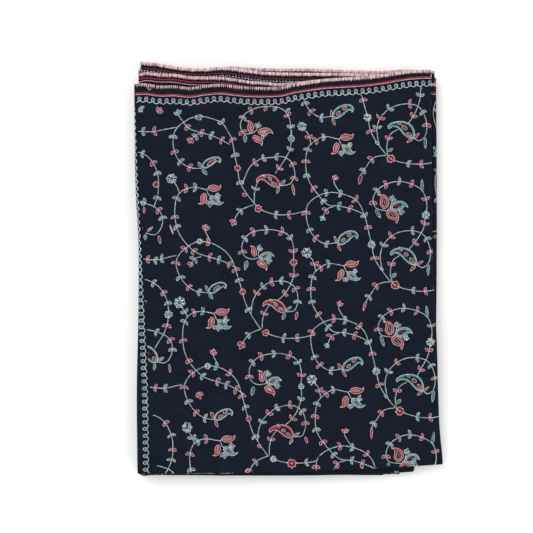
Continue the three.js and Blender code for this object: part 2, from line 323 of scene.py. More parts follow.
def far_edge(pan, cloth_of, p):
    """The place q of a selvedge: the upper cloth's, or the lower cloth's past the fold."""
    if cloth_of == "upper":
        return curve(pan["upper"], p)
    near = curve(pan["near"], p) + EDGE_REACH
    return near - math.pi * EDGE_RADIUS - (curve(pan["lower"], p) - near)


print("middle of the first panel:", np.round(lay(FIRST, 0, 0), 2))

# %% [markdown]
# ## The cloth
#
# A stole is one piece, so it is one mesh: a flat grid whose columns run across its width and
# whose rows run along its length, panel after panel. The grid is made with `create_grid`, and
# each of its points is then carried to its place in the fold. A Solidify modifier gives the
# sheet its thickness. It keeps the cloth whole and even round the folds, which cutting a
# block into leaves would not.

# %% Columns and rows of the cloth
ROWS = {"panel": 56, "fold": 10}      # down one cloth, and round the lengthwise fold
COLUMNS = {"first": 84, "second": 50, "third": 50}
HIDDEN_COLUMNS = 18                   # across each panel below those
SIDE_FOLD = 9                         # columns on a quarter turn
RUN = 273                             # nominal length of a panel along the stole


def panel_columns(pan):
    """Rows of (how far across the flat, turn of the left fold, turn of the right fold)."""
    turn = np.linspace(0, 1, SIDE_FOLD + 1)[1:]
    rows = [(a, 0, 0) for a in np.linspace(0, 1, COLUMNS.get(pan["name"], HIDDEN_COLUMNS) + 1)]
    if pan["turns"]["left"] != "flat":
        rows = [(0, t, 0) for t in turn[::-1]] + rows
    if pan["turns"]["right"] != "flat":
        rows = rows + [(1, 0, t) for t in turn]
    return np.array(rows)[:, None, :]


def cloth_rows():
    """Rows of (0 upper or 1 lower cloth, how far out from the fold, angle round the fold)."""
    down = np.linspace(1, 0, ROWS["panel"] + 1)[:-1]
    upper = [(0, t, 0) for t in down]
    fold = [(float(a > math.pi / 2), 0, a) for a in np.linspace(0, math.pi, ROWS["fold"] + 1)]
    lower = [(1, t, math.pi) for t in down[::-1]]
    return np.array(upper + fold + lower)[None, :, :]


def shared_edge(index, edge, p, left_turn, right_turn):
    """An edge of a panel, drawn towards the neighbouring panel's edge as their fold turns."""
    value = curve(PANELS[index][edge], p)
    facing = {"upper": "lower", "lower": "upper", "near": "near"}[edge]
    for turn, step in ((left_turn, -1), (right_turn, 1)):
        beside = index + (step if index % 2 == 0 else -step)
        if 0 <= beside < len(PANELS):
            value = value + (curve(PANELS[beside][facing], p) - value) / 2 * turn
    return value


def panel_grid(index):
    """One panel's share of the sheet: its points, and (along, across, from the selvedge)."""
    pan = PANELS[index]
    across, left_turn, right_turn = np.moveaxis(panel_columns(pan), -1, 0)
    is_lower, out, swing = np.moveaxis(cloth_rows(), -1, 0)
    ends = {side: rows[0][1] for side, rows in pan["lines"].items()}
    p = ends["left"] + (ends["right"] - ends["left"]) * across
    for _ in range(2):                # x follows from y and y from x, so each is worked out twice
        near = shared_edge(index, "near", p, left_turn, right_turn) + EDGE_REACH
        upper = shared_edge(index, "upper", p, left_turn, right_turn)
        lower = shared_edge(index, "lower", p, left_turn, right_turn)
        y = near + (np.where(is_lower > 0, lower, upper) - near) * out - EDGE_RADIUS * np.sin(swing)
        left = curve(pan["lines"]["left"], y) + FOLD_REACH
        right = curve(pan["lines"]["right"], y)
        right = right - (0 if pan["turns"]["right"] == "flat" else FOLD_REACH)
        p = left + (right - left) * across
    height = EDGE_RADIUS * np.cos(swing)
    x = p
    z = pan["level"] + height + 0 * p
    for side, turn, way_out in (("left", left_turn, -1), ("right", right_turn, 1)):
        radius = fold_radius(pan, side, height)
        angle = turn * math.pi / 2
        x = x + way_out * radius * np.sin(angle)
        z = np.where(turn > 0, fold_height(pan, side, radius, angle), z)
    points = np.stack([x, y, settled(x, y, z)], -1)
    flat_p = p + PITCH * math.pi / 2 * (right_turn - left_turn)
    along = index * RUN + (flat_p - ends["left"] if index % 2 == 0 else ends["right"] - flat_p)
    fold_length = math.pi * EDGE_RADIUS
    from_upper = np.where(is_lower > 0, upper - near + fold_length + y - near, upper - y)
    from_upper = np.where(out > 0, from_upper, upper - near + EDGE_RADIUS * swing)
    width = upper + lower - 2 * near + fold_length
    from_edge = np.minimum(from_upper, width - from_upper)
    down = from_upper if index % 2 == 0 else width - from_upper
    values = np.stack(np.broadcast_arrays(along, down, from_edge), -1)
    if index % 2 == 1:
        points, values = points[::-1, ::-1], values[::-1, ::-1]
    skip = 0 if index == 0 else 1     # the column on the fold belongs to the panel before
    return points[skip:], values[skip:]


# %% The cloth as one sheet
THINNEST = 0.35                       # share of the thickness left where the pack sags most
SQUEEZED = HIDDEN_TOP - 0.3           # the middle of each cloth that thins lies below this

parts = [panel_grid(index) for index in range(len(PANELS))]
sheet_points, sheet_values = (np.concatenate(each) for each in zip(*parts))
columns, rows = sheet_points.shape[:2]
cloth = grid("stole_cloth", columns - 1, rows - 1, 1.0)
flat = np.zeros(columns * rows * 3)
cloth.data.vertices.foreach_get("co", flat)
flat = flat.reshape(-1, 3)
column_of = np.rint((flat[:, 0] + 0.5) * (columns - 1)).astype(int)
row_of = np.rint((0.5 - flat[:, 1]) * (rows - 1)).astype(int)
cloth.data.vertices.foreach_set("co", (sheet_points[column_of, row_of] * MM).ravel())
weave_place = cloth.data.attributes.new("weave_place", "FLOAT_VECTOR", "POINT")
weave_place.data.foreach_set("vector", sheet_values[column_of, row_of].ravel())

squeeze = cloth.vertex_groups.new(name="thickness")
room = 1 - settle(sheet_points[..., 0], sheet_points[..., 1]) / HIDDEN_TOP
room = np.where(sheet_points[..., 2] < SQUEEZED, np.clip(room, THINNEST, 1), 1)
for vertex, (i, j) in enumerate(zip(column_of.tolist(), row_of.tolist())):
    squeeze.add([vertex], room[i, j], "REPLACE")

thickness = cloth.modifiers.new("thickness", "SOLIDIFY")
thickness.thickness = CLOTH * MM
thickness.offset = 0
thickness.use_even_offset = True
thickness.vertex_group = squeeze.name
thickness.material_offset = 1
cloth.data.shade_smooth()

# %% [markdown]
# ## Lines and motifs of the embroidery
#
# The vine is worked in stem stitch and the petals in satin stitch, both by hand with fine
# silk. Here each stitch is one row of numbers: its place on the flat cloth, heading, length,
# width, lift and tint. A whole motif is then a list of such rows that can be turned and
# copied. Curves are smooth lines through a few charted points.

# %% Smooth lines and rows of stitches
THREADS = ("sage", "rose", "red", "teal")


def trace(points, closed=False):
    """A smooth curve through charted points, as rows of (distance, p, q)."""
    points = np.array(points, float)
    first = points[-1:] if closed else 2 * points[:1] - points[1:2]
    last = points[:2] if closed else 2 * points[-1:] - points[-2:-1]
    guide = np.vstack([first, points, last])
    before, start, stop, after = guide[:-3], guide[1:-2], guide[2:-1], guide[3:]
    t = np.linspace(0, 1, 13)[:-1, None, None]
    cubic = 3 * (start - stop) - before + after
    square = 2 * before - 5 * start + 4 * stop - after
    line = start + t / 2 * (stop - before + t * (square + t * cubic))
    line = np.vstack([line.swapaxes(0, 1).reshape(-1, 2), stop[-1:]])
    reach = np.append(0, np.cumsum(np.linalg.norm(np.diff(line, axis=0), axis=1)))
    return np.column_stack([reach, line])


def walk(line, at):
    """Places and headings at distances along a traced line."""
    def place(distance):
        return np.stack([np.interp(distance, line[:, 0], line[:, k]) for k in (1, 2)], -1)
    at = np.atleast_1d(np.asarray(at, float))
    step = place(at + 0.4) - place(at - 0.4)
    return place(at), np.arctan2(step[:, 1], step[:, 0])


def round_about(turns):
    """Points one millimetre from the middle, at these angles."""
    return np.stack([np.cos(turns), np.sin(turns)], -1)


def evenly(line, pitch):
    """Distances along a line about one pitch apart."""
    count = max(1, round(line[-1, 0] / pitch))
    return (np.arange(count) + 0.5) * line[-1, 0] / count


def stitches(places, heading, length, width, lift=0.0, tint=0.5):
    """Rows of (p, q, heading, length, width, lift, tint)."""
    places = np.atleast_2d(places)
    return np.stack(np.broadcast_arrays(places[:, 0], places[:, 1], heading, length, width,
                                        lift, tint), -1).astype(float)


def chain(points, width, lift=0.0, tint=0.5):
    """One stitch from each point to the next, each reaching a little past both."""
    points = np.asarray(points, float)
    step = np.diff(points, axis=0)
    return stitches((points[1:] + points[:-1]) / 2, np.arctan2(step[:, 1], step[:, 0]),
                    np.linalg.norm(step, axis=1) * 1.3, width, lift, tint)


def turned(rows, at, heading):
    """Stitches moved from a motif's own frame to a place and a heading."""
    moved = rows.copy()
    cos, sin = math.cos(heading), math.sin(heading)
    moved[:, 0] = at[0] + cos * rows[:, 0] - sin * rows[:, 1]
    moved[:, 1] = at[1] + sin * rows[:, 0] + cos * rows[:, 1]
    moved[:, 2] += heading
    return moved


def sew(chart, thread, rows, anchor=None):
    """Adds stitches to a chart. Those with one anchor are kept or left out together."""
    anchors = rows[:, :2] if anchor is None else np.broadcast_to(anchor, (len(rows), 2))
    chart[thread].append(np.hstack([rows, anchors]))


def empty_chart():
    return {thread: [] for thread in THREADS}


def stacked(chart):
    return {thread: np.vstack(rows)[:, :7] for thread, rows in chart.items() if rows}


# %% Stems, leaves, buds and rosettes
STEM = {"pitch": 1.7, "length": 2.6, "width": 0.64, "slant": 0.26}
LEAF_SIDE = np.array([(0.02, 0.0), (0.24, 0.38), (0.68, 0.38), (1.0, 0.0)])
LEAF = {"length": 4.0, "width": 2.7, "spread": 0.9, "rim": 0.62}
LEAF_CORE = {"length": 0.62, "width": 0.36, "narrowest": 0.9, "lift": -0.04}
UNALIKE = (0.14, 0.07, 0.1)           # spread of a leaf's turn, length and width, by hand
BUD_LEAVES = ((-0.75, 0.85), (0.75, 0.85), (0, 1))    # turn and share of the bud's size
LOBES = 7                             # round a rosette
hand = np.random.default_rng(5)


def stem(chart, line):
    places, heading = walk(line, evenly(line, STEM["pitch"]))
    sew(chart, "sage", stitches(places, heading + STEM["slant"], STEM["length"], STEM["width"], 0.05))


def leaf(chart, base, heading, rim, core, length=None, width=None):
    """A small oval leaf: an outline in one thread, a core in another."""
    length, width = length or LEAF["length"], width or LEAF["width"]
    turn, longer, wider = hand.normal(0, UNALIKE)
    heading, length, width = heading + turn, length * (1 + longer), width * (1 + wider)
    anchor = np.array(base) + length / 2 * np.array([math.cos(heading), math.sin(heading)])
    side = LEAF_SIDE * (length, width)
    rows = np.vstack([chain(side, LEAF["rim"], 0.05), chain(side * (1, -1), LEAF["rim"], 0.05)])
    sew(chart, rim, turned(rows, base, heading), anchor)
    core_width = max(LEAF_CORE["narrowest"], LEAF_CORE["width"] * width)
    middle = stitches((0.5 * length, 0), 0, LEAF_CORE["length"] * length, core_width,
                      LEAF_CORE["lift"], 0.0 if core == "sage" else 0.5)
    sew(chart, core, turned(middle, base, heading), anchor)


def leaf_pair(chart, line, at, rim, core):
    (place,), (heading,) = walk(line, at)
    for side in (-1, 1):
        base = place + side * 0.5 * np.array([-math.sin(heading), math.cos(heading)])
        leaf(chart, base, heading + side * LEAF["spread"], rim, core)


def bud(chart, base, degrees, size, rim, core):
    """Three small leaves that open from one point, round a heading given in degrees."""
    for turn, share in BUD_LEAVES:
        leaf(chart, base, math.radians(degrees) + turn, rim, core, size * share, size * 0.6)


def rosette(chart, at, radius, rim, petals, heart):
    """A round flower: a lobed rim, a ring of petals and a knot in the middle."""
    turn, radius = hand.uniform(0, 0.8), radius * (1 + hand.normal(0, 0.05))
    steps = 3 * LOBES
    turns = np.arange(steps + 1) * math.tau / steps
    uneven = hand.normal(0, 0.05, steps + 1) * (turns > 0.2)
    reach = radius * (0.86 + 0.13 * np.cos(turns * LOBES) + uneven)
    lobes = round_about(turns) * reach[:, None]
    sew(chart, rim, turned(chain(lobes, 0.72, 0.08), at, turn), at)
    turns = np.arange(LOBES) * math.tau / LOBES + hand.normal(0, 0.12, LOBES)
    ring = round_about(turns) * radius * 0.54
    ring = stitches(ring, turns, radius * 0.6, radius * 0.34, 0.02)
    sew(chart, petals, turned(ring, at, turn), at)
    knot = stitches([(0.3, 0.2), (-0.3, 0.3), (0, -0.35)], [0.3, 2.2, 1.2], 1.3, 0.8, 0.15)
    sew(chart, heart, turned(knot, at, 0), at)


# %% Petals and paisleys
PAISLEY = [(0, 0), (0.05, 0.17), (0.27, 0.33), (0.54, 0.345), (0.78, 0.25), (0.94, 0.10),
           (0.98, -0.04), (0.91, -0.11), (0.83, 0.01), (0.69, 0.045), (0.54, 0.0), (0.35, -0.07),
           (0.14, -0.09)]
DROP = [(0, 0), (0.05, 0.14), (0.22, 0.29), (0.48, 0.345), (0.76, 0.31), (0.95, 0.176),
        (0.99, -0.02), (0.88, -0.137), (0.83, -0.02), (0.71, -0.01), (0.47, -0.09), (0.21, -0.125),
        (0.07, -0.07)]
PETAL = [(0, 0), (0.08, 0.16), (0.38, 0.24), (0.68, 0.14), (0.86, 0.09), (1.0, 0.2), (0.98, 0.0),
         (0.8, -0.2), (0.45, -0.28), (0.12, -0.19)]
SATIN = 0.62                          # from one satin stitch to the next
OUTLINE = {"pitch": 1.3, "length": 2.1, "slant": 0.12}


def closed_motif(chart, outline, base, tip, hook, layers):
    """Rings of stitches inside an outline that reaches from base to tip. Each layer is a
    thread, how far in it runs, its width, and whether its stitches lie along or across."""
    base, reach = np.array(base, float), np.subtract(tip, base)
    length, heading = np.hypot(*reach), math.atan2(reach[1], reach[0])
    line = trace(np.array(outline) * (length, length * hook), closed=True)
    x, y = line[:, 1], line[:, 2]
    inward = math.copysign(math.pi / 2, np.sum(x[:-1] * y[1:] - x[1:] * y[:-1]))
    for thread, inset, width, kind in layers:
        places, way = walk(line, evenly(line, SATIN if kind == "satin" else OUTLINE["pitch"]))
        places = places + inset * round_about(way + inward)
        off = np.linalg.norm(places[:, None] - line[None, :, 1:], axis=-1).min(axis=1)
        if kind == "satin":
            rows = stitches(places, way + inward, width, SATIN * 1.25)
        else:
            rows = stitches(places, way + OUTLINE["slant"], OUTLINE["length"], width, 0.06)
        sew(chart, thread, turned(rows[off > 0.9 * inset], base, heading))
    return base, length, heading


def petal(chart, base, tip, hook, rim, band, core):
    base, length, heading = closed_motif(chart, PETAL, base, tip, hook, [
        (rim, 0.3, 0.65, "line"), (band, 1.15, 1.4, "satin"), (rim, 2.1, 0.5, "line")])
    middle = stitches([(0.42 * length, -0.03 * length * hook)] * 2, [0.1, -0.1], 0.36 * length,
                      0.9, [0.02, 0.1])
    sew(chart, core, turned(middle, base, heading))


def paisley(chart, outline, base, tip, hook, rim, band, bead_rim, bead, beads, band_width=1.3):
    base, length, heading = closed_motif(chart, outline, base, tip, hook, [
        (rim, 0.35, 0.75, "line"), (band, 0.7 + band_width / 2, band_width, "satin")])
    for share, rise, size in beads:
        spot = stitches((share * length, rise * length * hook), 0, 1, 1)
        spot = turned(spot, base, heading)[0, :2]
        leaf(chart, spot, heading + 0.35 * hook, bead_rim, bead, size, size * 0.62)

# %% [markdown]
# ## The chart of one repeat
#
# The field is one repeat, about 117 mm by 113 mm, worked over and over by eye. The chart
# gives its vines as points, and where along each vine the pairs of small leaves sit.
# All its distances are from the small red flower where the vines meet. Every other column
# of repeats is drawn a little differently and swaps some colours, more so from row 0 on, and
# the left border cuts one column short. So there are four drawings of the repeat, and short
# lists say where the hand work of single repeats differs.

# %% Vines of one repeat: points, then where rose and sage leaves sit
COMMON_VINES = [                      # worked in every column but the one cut short
    ([(-50, 83.5), (-55, 93.5), (-54, 97.5)], (), ()),
    ([(0, 0), (9, -3.5), (20, -5.5), (32, -5), (44.5, -2)], (28,), (16,)),
    ([(-47, 17.5), (-44.5, 18.8)], (), ()),
    ([(-47, 17.5), (-45, 13), (-42, 9)], (), ()),
]
FLOWER_VINE = [(-47, 17.5), (-60, 20), (-69, 15.5), (-75, 8.5), (-76.5, -4.5), (-74.5, -18.5),
               (-66.5, -31.5), (-57, -41.5), (-45, -43.5), (-30, -48.5), (-22.5, -53)]
ODD_FLOWER_VINE = [(-47, 17.5), (-58, 19), (-67.5, 16.5), (-74, 9.5), (-75.8, -2), (-74.2, -15),
                   (-70.5, -24), (-63.5, -33.5), (-55, -40.5), (-45, -43.5), (-34, -46.5),
                   (-25, -51), (-19, -54.5)]
EVEN_VINES = [
    ([(-72, 12.5), (-74.5, 22), (-80, 28)], (6,), ()),
    ([(-27.5, 62.5), (-23.5, 47.5), (-21, 37), (-18, 23), (-8.5, 8.5), (0, 0)], (9, 38), ()),
    ([(-27.5, 61), (-33, 73.5), (-42, 80.5), (-57.5, 84.5), (-70.5, 81), (-80, 72), (-80, 58.5),
      (-74.5, 45.5), (-64.5, 38), (-53.5, 38.5)], (18, 43, 67, 99), (1, 32, 90, 110)),
    (FLOWER_VINE, (21, 44, 69, 109), (13, 33, 56, 83, 99)),
    ([(-51.5, -43.5), (-58, -46), (-61.5, -54)], (7,), ()),
    ([(-4, 3.5), (-15, 1), (-22, -8.5), (-26, -14.5)], (13,), (25,)),
    ([(-3, 4), (-4.5, 10.3), (-4, 16.8), (-1.7, 22.8), (3.8, 26.3)], (14,), ()),
    ([(12.7, 31.2), (21, 42), (26, 52), (27.5, 63.5), (28.5, 70)], (8, 28), ()),
    ([(-12, 14.5), (-13.5, 27.5), (-9, 39), (1.5, 47), (15, 49), (26, 45.5), (31.5, 34.5), (31, 22),
      (25, 16), (18, 19)], (33, 80), (22, 53, 68)),
    ([(28, 62.5), (28.5, 75), (24.5, 86), (13, 92), (-1, 93.5), (-14, 88), (-20, 78.5), (-17.5, 70),
      (-7, 67.5)], (15, 34, 58, 80), (46, 68)),
    ([(-7, 67.5), (-4.4, 71), (-3, 76)], (), ()),
]
ODD_VINES = [
    ([(-71, 13.5), (-73.5, 20.5), (-77.5, 26)], (), ()),
    ([(-24.1, 63.8), (-21.5, 49.5), (-18.3, 36.8), (-16, 24), (-9.5, 12), (0, 0)],
     (0.5,), (14.5, 40)),
    ([(-24.1, 63.8), (-31.8, 77.3), (-37.2, 80.5), (-48.9, 83.6), (-59.7, 82.3), (-65.1, 80.2),
      (-72.4, 75.5), (-76.4, 69.2), (-77.3, 59.3), (-74.6, 48.5), (-69.6, 41.7), (-61.5, 36.8),
      (-50.7, 36.1)], (84, 105), (16, 70, 95)),
    (ODD_FLOWER_VINE, (17, 47, 84, 99, 118), (9, 30, 56, 108)),
    ([(-51.5, -43.5), (-57.3, -46), (-59.5, -50)], (), (6,)),
    ([(-4, 3), (-10.2, 0.7), (-14.7, -1.5), (-19, -6), (-21.5, -11.5)], (), (12,)),
    ([(-3.5, 3.5), (-3.5, 10.6), (-2.5, 17), (-0.7, 22.3), (1.5, 26.8)], (), (13.5,)),
    ([(16.4, 32.3), (23, 42), (28.5, 53), (30.2, 63.3), (30.9, 70.8)], (4.5,), (24,)),
    ([(-13.8, 22.3), (-10.2, 31.4), (-7, 37.7), (-2.1, 42.2), (4.2, 45.8), (12.3, 46.7),
      (22.3, 47.1), (29.2, 43), (32.4, 37.3), (33.8, 29.9), (31.9, 25.3), (28.2, 21.6), (20.4, 20.7)],
     (22, 60, 73), (31, 42)),
    ([(30.2, 63.3), (30, 76.3), (28.2, 83.8), (23.1, 89.9), (14.1, 92.6), (0.6, 91.7),
      (-10.2, 86.3), (-13.8, 80.9), (-15.6, 75.5), (-14.7, 71), (-12, 67.4), (-5.7, 67.8)],
     (21, 44, 58, 82), (10, 35, 68)),
    ([(-5.7, 67.8), (-2, 70), (0.5, 74)], (), ()),
]
LATE_VINES = [                        # an odd column from the red flower of row 0 on
    ([(-71, 13), (-74, 19.5), (-78, 25)], (), (5,)),
    ([(-28.5, 59.5), (-25, 49), (-21, 36.5), (-17.3, 25), (-12, 14.5), (-4.5, 2.5)],
     (2,), (12, 40)),
    ([(-28.5, 59.5), (-31, 66.5), (-36.5, 74), (-44.5, 79.5), (-52, 82), (-59.7, 82.5),
      (-66.5, 80), (-73.5, 74.5), (-77.2, 67.5), (-77.6, 59.3), (-74.9, 48.5), (-69.8, 41.7),
      (-62, 37), (-52, 36.3)], (33, 56, 70, 94), (83, 104)),
    (ODD_FLOWER_VINE, (17, 47, 66, 99, 118), (9, 30, 85, 108)),
    ([(-4.5, 3), (-10.2, 1), (-15, -1.7), (-19, -6), (-21, -10)], (), (12,)),
    ([(-3.5, 3.5), (-3, 10.6), (-1.5, 17), (1, 22), (4, 26)], (13.5,), ()),
    ([(11, 29.6), (16.4, 34), (22, 42), (25.2, 53), (24.8, 63.3)], (8, 26), ()),
    ([(-13, 16.6), (-11.6, 27), (-8, 35.5), (-2.1, 42.2), (4.2, 45.8), (12.3, 47), (19.5, 46),
      (25.5, 42), (28.7, 36.5), (29.6, 30), (28.8, 24.5), (25.8, 19.4), (18.5, 18.6)],
     (19, 36, 61), (27, 45, 73)),
    ([(24.8, 63.3), (25.2, 76.3), (23.5, 83.8), (18.5, 89.9), (10, 93), (2, 93.8), (-9.5, 92),
      (-17, 87.3), (-21.2, 80.5), (-21.5, 74), (-19, 68.8), (-13.5, 66.5), (-6, 67.5)],
     (9.5, 32, 58, 81), (22, 46, 68)),
    ([(-6, 67.5), (-6.7, 71), (-5.5, 75)], (), ()),
]
EDGE_VINES = [                        # the column that the left border cuts short
    ([(8, 93.4), (15.5, 91), (21.5, 86.5), (26, 79.5), (28.6, 71), (28.8, 62), (27.6, 52.5),
      (24.4, 44)], (20, 51), (7.5, 30)),
    ([(9, 48), (17, 46.2), (24.5, 43.6), (30, 39), (32.5, 33), (32.4, 27.5), (30.5, 22.5),
      (27, 18.8), (22.5, 18.4), (17.5, 20)], (23,), (8, 32)),
    ([(9, -3.5), (20, -4.6), (32, -4.6), (44.5, -2)], (8,), (18.5,)),
    ([(24.4, 44), (16.5, 31.4)], (), ()),
]
VINES = {"even": EVEN_VINES + COMMON_VINES, "odd": ODD_VINES + COMMON_VINES,
         "late": LATE_VINES + COMMON_VINES, "edge": EDGE_VINES}
# Single vines, by drawing, row and number, that are worked with other leaves or not at all
OTHER_LEAVES = {
    ("late", 1, 2): ((19, 56, 70, 94), (33, 83, 104)), ("late", 1, 3): ((12, 36), (21, 51)),
    ("late", 1, 4): ((12,), ()), ("late", 1, 6): ((8,), (26,)),
    ("late", 1, 7): ((26, 46, 70), (17, 34, 59)), ("late", 1, 11): ((), (29,)),
    ("even", -1, 7): ((8,), (29,)), ("even", -1, 8): ((22, 53, 80), (13, 34, 68)),
    ("even", 0, 2): ((18, 74, 99), (1, 32, 45, 90, 110)),
    ("even", 2, 2): ((18, 43, 74, 99), (1, 32, 90, 110)),
    ("edge", -2, 2): ((24.5,), (14,)), ("edge", -1, 0): ((18,), (5, 28.5, 51)),
    ("edge", -1, 1): ((20,), (28,)), ("edge", -1, 2): ((9.8,), (19, 26)), ("edge", -1, 3): None,
    ("edge", 1, 0): ((16, 41), (28, 51)), ("edge", 1, 1): ((), ()), ("edge", 1, 3): ((6,), ()),
}


PINK, GREEN, PALE = ("rose", "red"), ("sage", "teal"), ("sage", "sage")     # rim and core


def repeat_chart(column, row):
    """All stitches of one repeat. Odd columns differ from even ones, and change at row 0."""
    kind = "edge" if column == -2 else "even" if column % 2 == 0 else "odd" if row < 0 else "late"
    chart = empty_chart()
    for number, (points, rose_leaves, sage_leaves) in enumerate(VINES[kind]):
        other = OTHER_LEAVES.get((kind, row, number), (rose_leaves, sage_leaves))
        if other is None:
            continue
        rose_leaves, sage_leaves = other
        line = trace(points)
        stem(chart, line)
        for at in rose_leaves:
            leaf_pair(chart, line, at, *PINK)
        for at in sage_leaves:
            leaf_pair(chart, line, at, "sage", "sage" if at % 3 else "teal")
    if kind != "edge":
        rosette(chart, (-80, 29) if kind == "even" else (-78, 27), 4.6, "sage", *GREEN)
        petal(chart, (-45.2, 18.6), (-33, 20), 1, *PINK, "teal")
        petal(chart, (-48, 14), (-52.1, 3.6), -1, *PINK, "teal")
        petal(chart, (-43.8, 11.2), (-33.1, 3.8), 1, *GREEN, "red")
    MOTIFS[kind](chart, row)
    return {thread: np.vstack(rows) for thread, rows in chart.items() if rows}


def leaves(chart, rows):
    """Single leaves: base, heading in degrees, length, width, rim, core."""
    for base, degrees, length, width, rim, core in rows:
        leaf(chart, base, math.radians(degrees), rim, core, length, width)


# %% Flowers, paisleys and single leaves of an even column
def even_motifs(chart, row):
    rosette(chart, (0, 0), 3.9, *PINK, "rose")
    rosette(chart, (-21, 37), 3.9, "sage", *GREEN)
    bud(chart, (-54.2, 96), 80, 4.4, *PINK)
    rosette(chart, (27.5, 63.5), 3.6, "sage", *GREEN)
    bud(chart, (-61, -53), -115, 4.2, *GREEN)
    bud(chart, (-45, 6.5), -88, 4.4, *GREEN)
    bud(chart, (-38.5, 12), -5, 4.2, *GREEN)
    petal(chart, (-8.6, 69.8), (-12.2, 82.7), 1.25, *PINK, "teal")
    petal(chart, (-4.6, 70), (10.6, 73.2), -1.1, *GREEN, "red")
    petal(chart, (-7, 67.6), (3.2, 58.2), -1.2, *PINK, "teal")
    bud(chart, (-2.8, 76.6), 75, 5, *GREEN)
    bud(chart, (3.6, 67), -10, 5, *GREEN)
    paisley(chart, DROP, (-51.8, 37.3), (-32.9, 45.4), 1, *GREEN, *PINK,
            [(0.2, 0.04, 4.8), (0.52, 0.14, 5)])
    paisley(chart, PAISLEY, (18.7, 18.6), (-4.6, 30.5), -1, *GREEN, *PINK,
            [(0.1, 0.02, 5.6), (0.36, 0.13, 5), (0.62, 0.19, 4)])
    leaves(chart, [
        ((-11, 13), 145, 4.2, 2.8, *GREEN), ((-3, 7), 40, 4.6, 3, *GREEN),
        ((30.6, 19), -83, 10, 2.8, *GREEN), ((25.2, 85.5), 90, 10.5, 2.8, *GREEN),
        ((-18, 69), -72, 9.5, 3.2, *GREEN), ((-26, -14.5), -100, 9.5, 2.8, *PINK),
        ((-52.6, 37.8), 100, 7.2, 2.5, *PINK), ((-52.2, 37), -65, 6.8, 2.5, *PINK),
        ((19.2, 18), 35, 7, 2.5, *PINK), ((18.6, 17.8), -140, 7, 2.5, *PINK),
    ])


# %% Flowers, paisleys and single leaves of the other drawings
def odd_motifs(chart, row):
    rosette(chart, (0, 0), 3.4, *PINK, "rose")
    rosette(chart, (-18.3, 36.8), 2.8, *PINK, "red")
    bud(chart, (-54.2, 94), 85, 5.4, *PINK)
    rosette(chart, (30.2, 63.3), 3.1, *GREEN, "sage")
    rosette(chart, (-53.4, 83), 2.9, *GREEN, "teal")
    bud(chart, (-59.3, -49.5), -115, 4.4, *PINK)
    bud(chart, (-21.5, -11), -110, 5.6, *PINK)
    bud(chart, (-44, 6.5), -85, 5.4, *GREEN)
    bud(chart, (-38.5, 11.5), 12, 5, *PALE)
    petal(chart, (-6.1, 68.7), (-7.5, 79.6), 1, *PINK, "teal")
    petal(chart, (0.2, 69.2), (13, 70.6), -1, *PINK, "sage")
    petal(chart, (-4.3, 65.6), (4.4, 58.4), -1, *PINK, "teal")
    bud(chart, (-0.2, 73.5), 75, 4.4, *GREEN)
    bud(chart, (3.5, 67), -12, 4.8, *GREEN)
    paisley(chart, DROP, (-50.4, 37), (-33, 44.6), 0.84, *GREEN, *PINK, [], 0.9)
    paisley(chart, PAISLEY, (20, 20.2), (-1.6, 26.6), -1, *PINK, *GREEN,
            [(0.12, 0.02, 5), (0.36, 0.13, 4.6), (0.62, 0.19, 4.2)], 1.7)
    leaves(chart, [
        ((-46, 39.3), 27, 9.2, 3, *PINK),
        ((-10.5, 11), 150, 4, 2.6, *PINK), ((31.5, 22), -85, 10.5, 2.6, *PINK),
        ((-12, 66.5), -80, 7, 3.6, *GREEN), ((-51.5, 37.2), 115, 5.4, 3, *GREEN),
        ((-50.6, 35.8), -60, 6, 3.2, *GREEN), ((20.6, 20.8), 35, 6.2, 2.8, *GREEN),
        ((19.6, 19.4), -100, 6.4, 2.8, *GREEN), ((26, 88), 30, 4.2, 2.8, *GREEN),
    ])


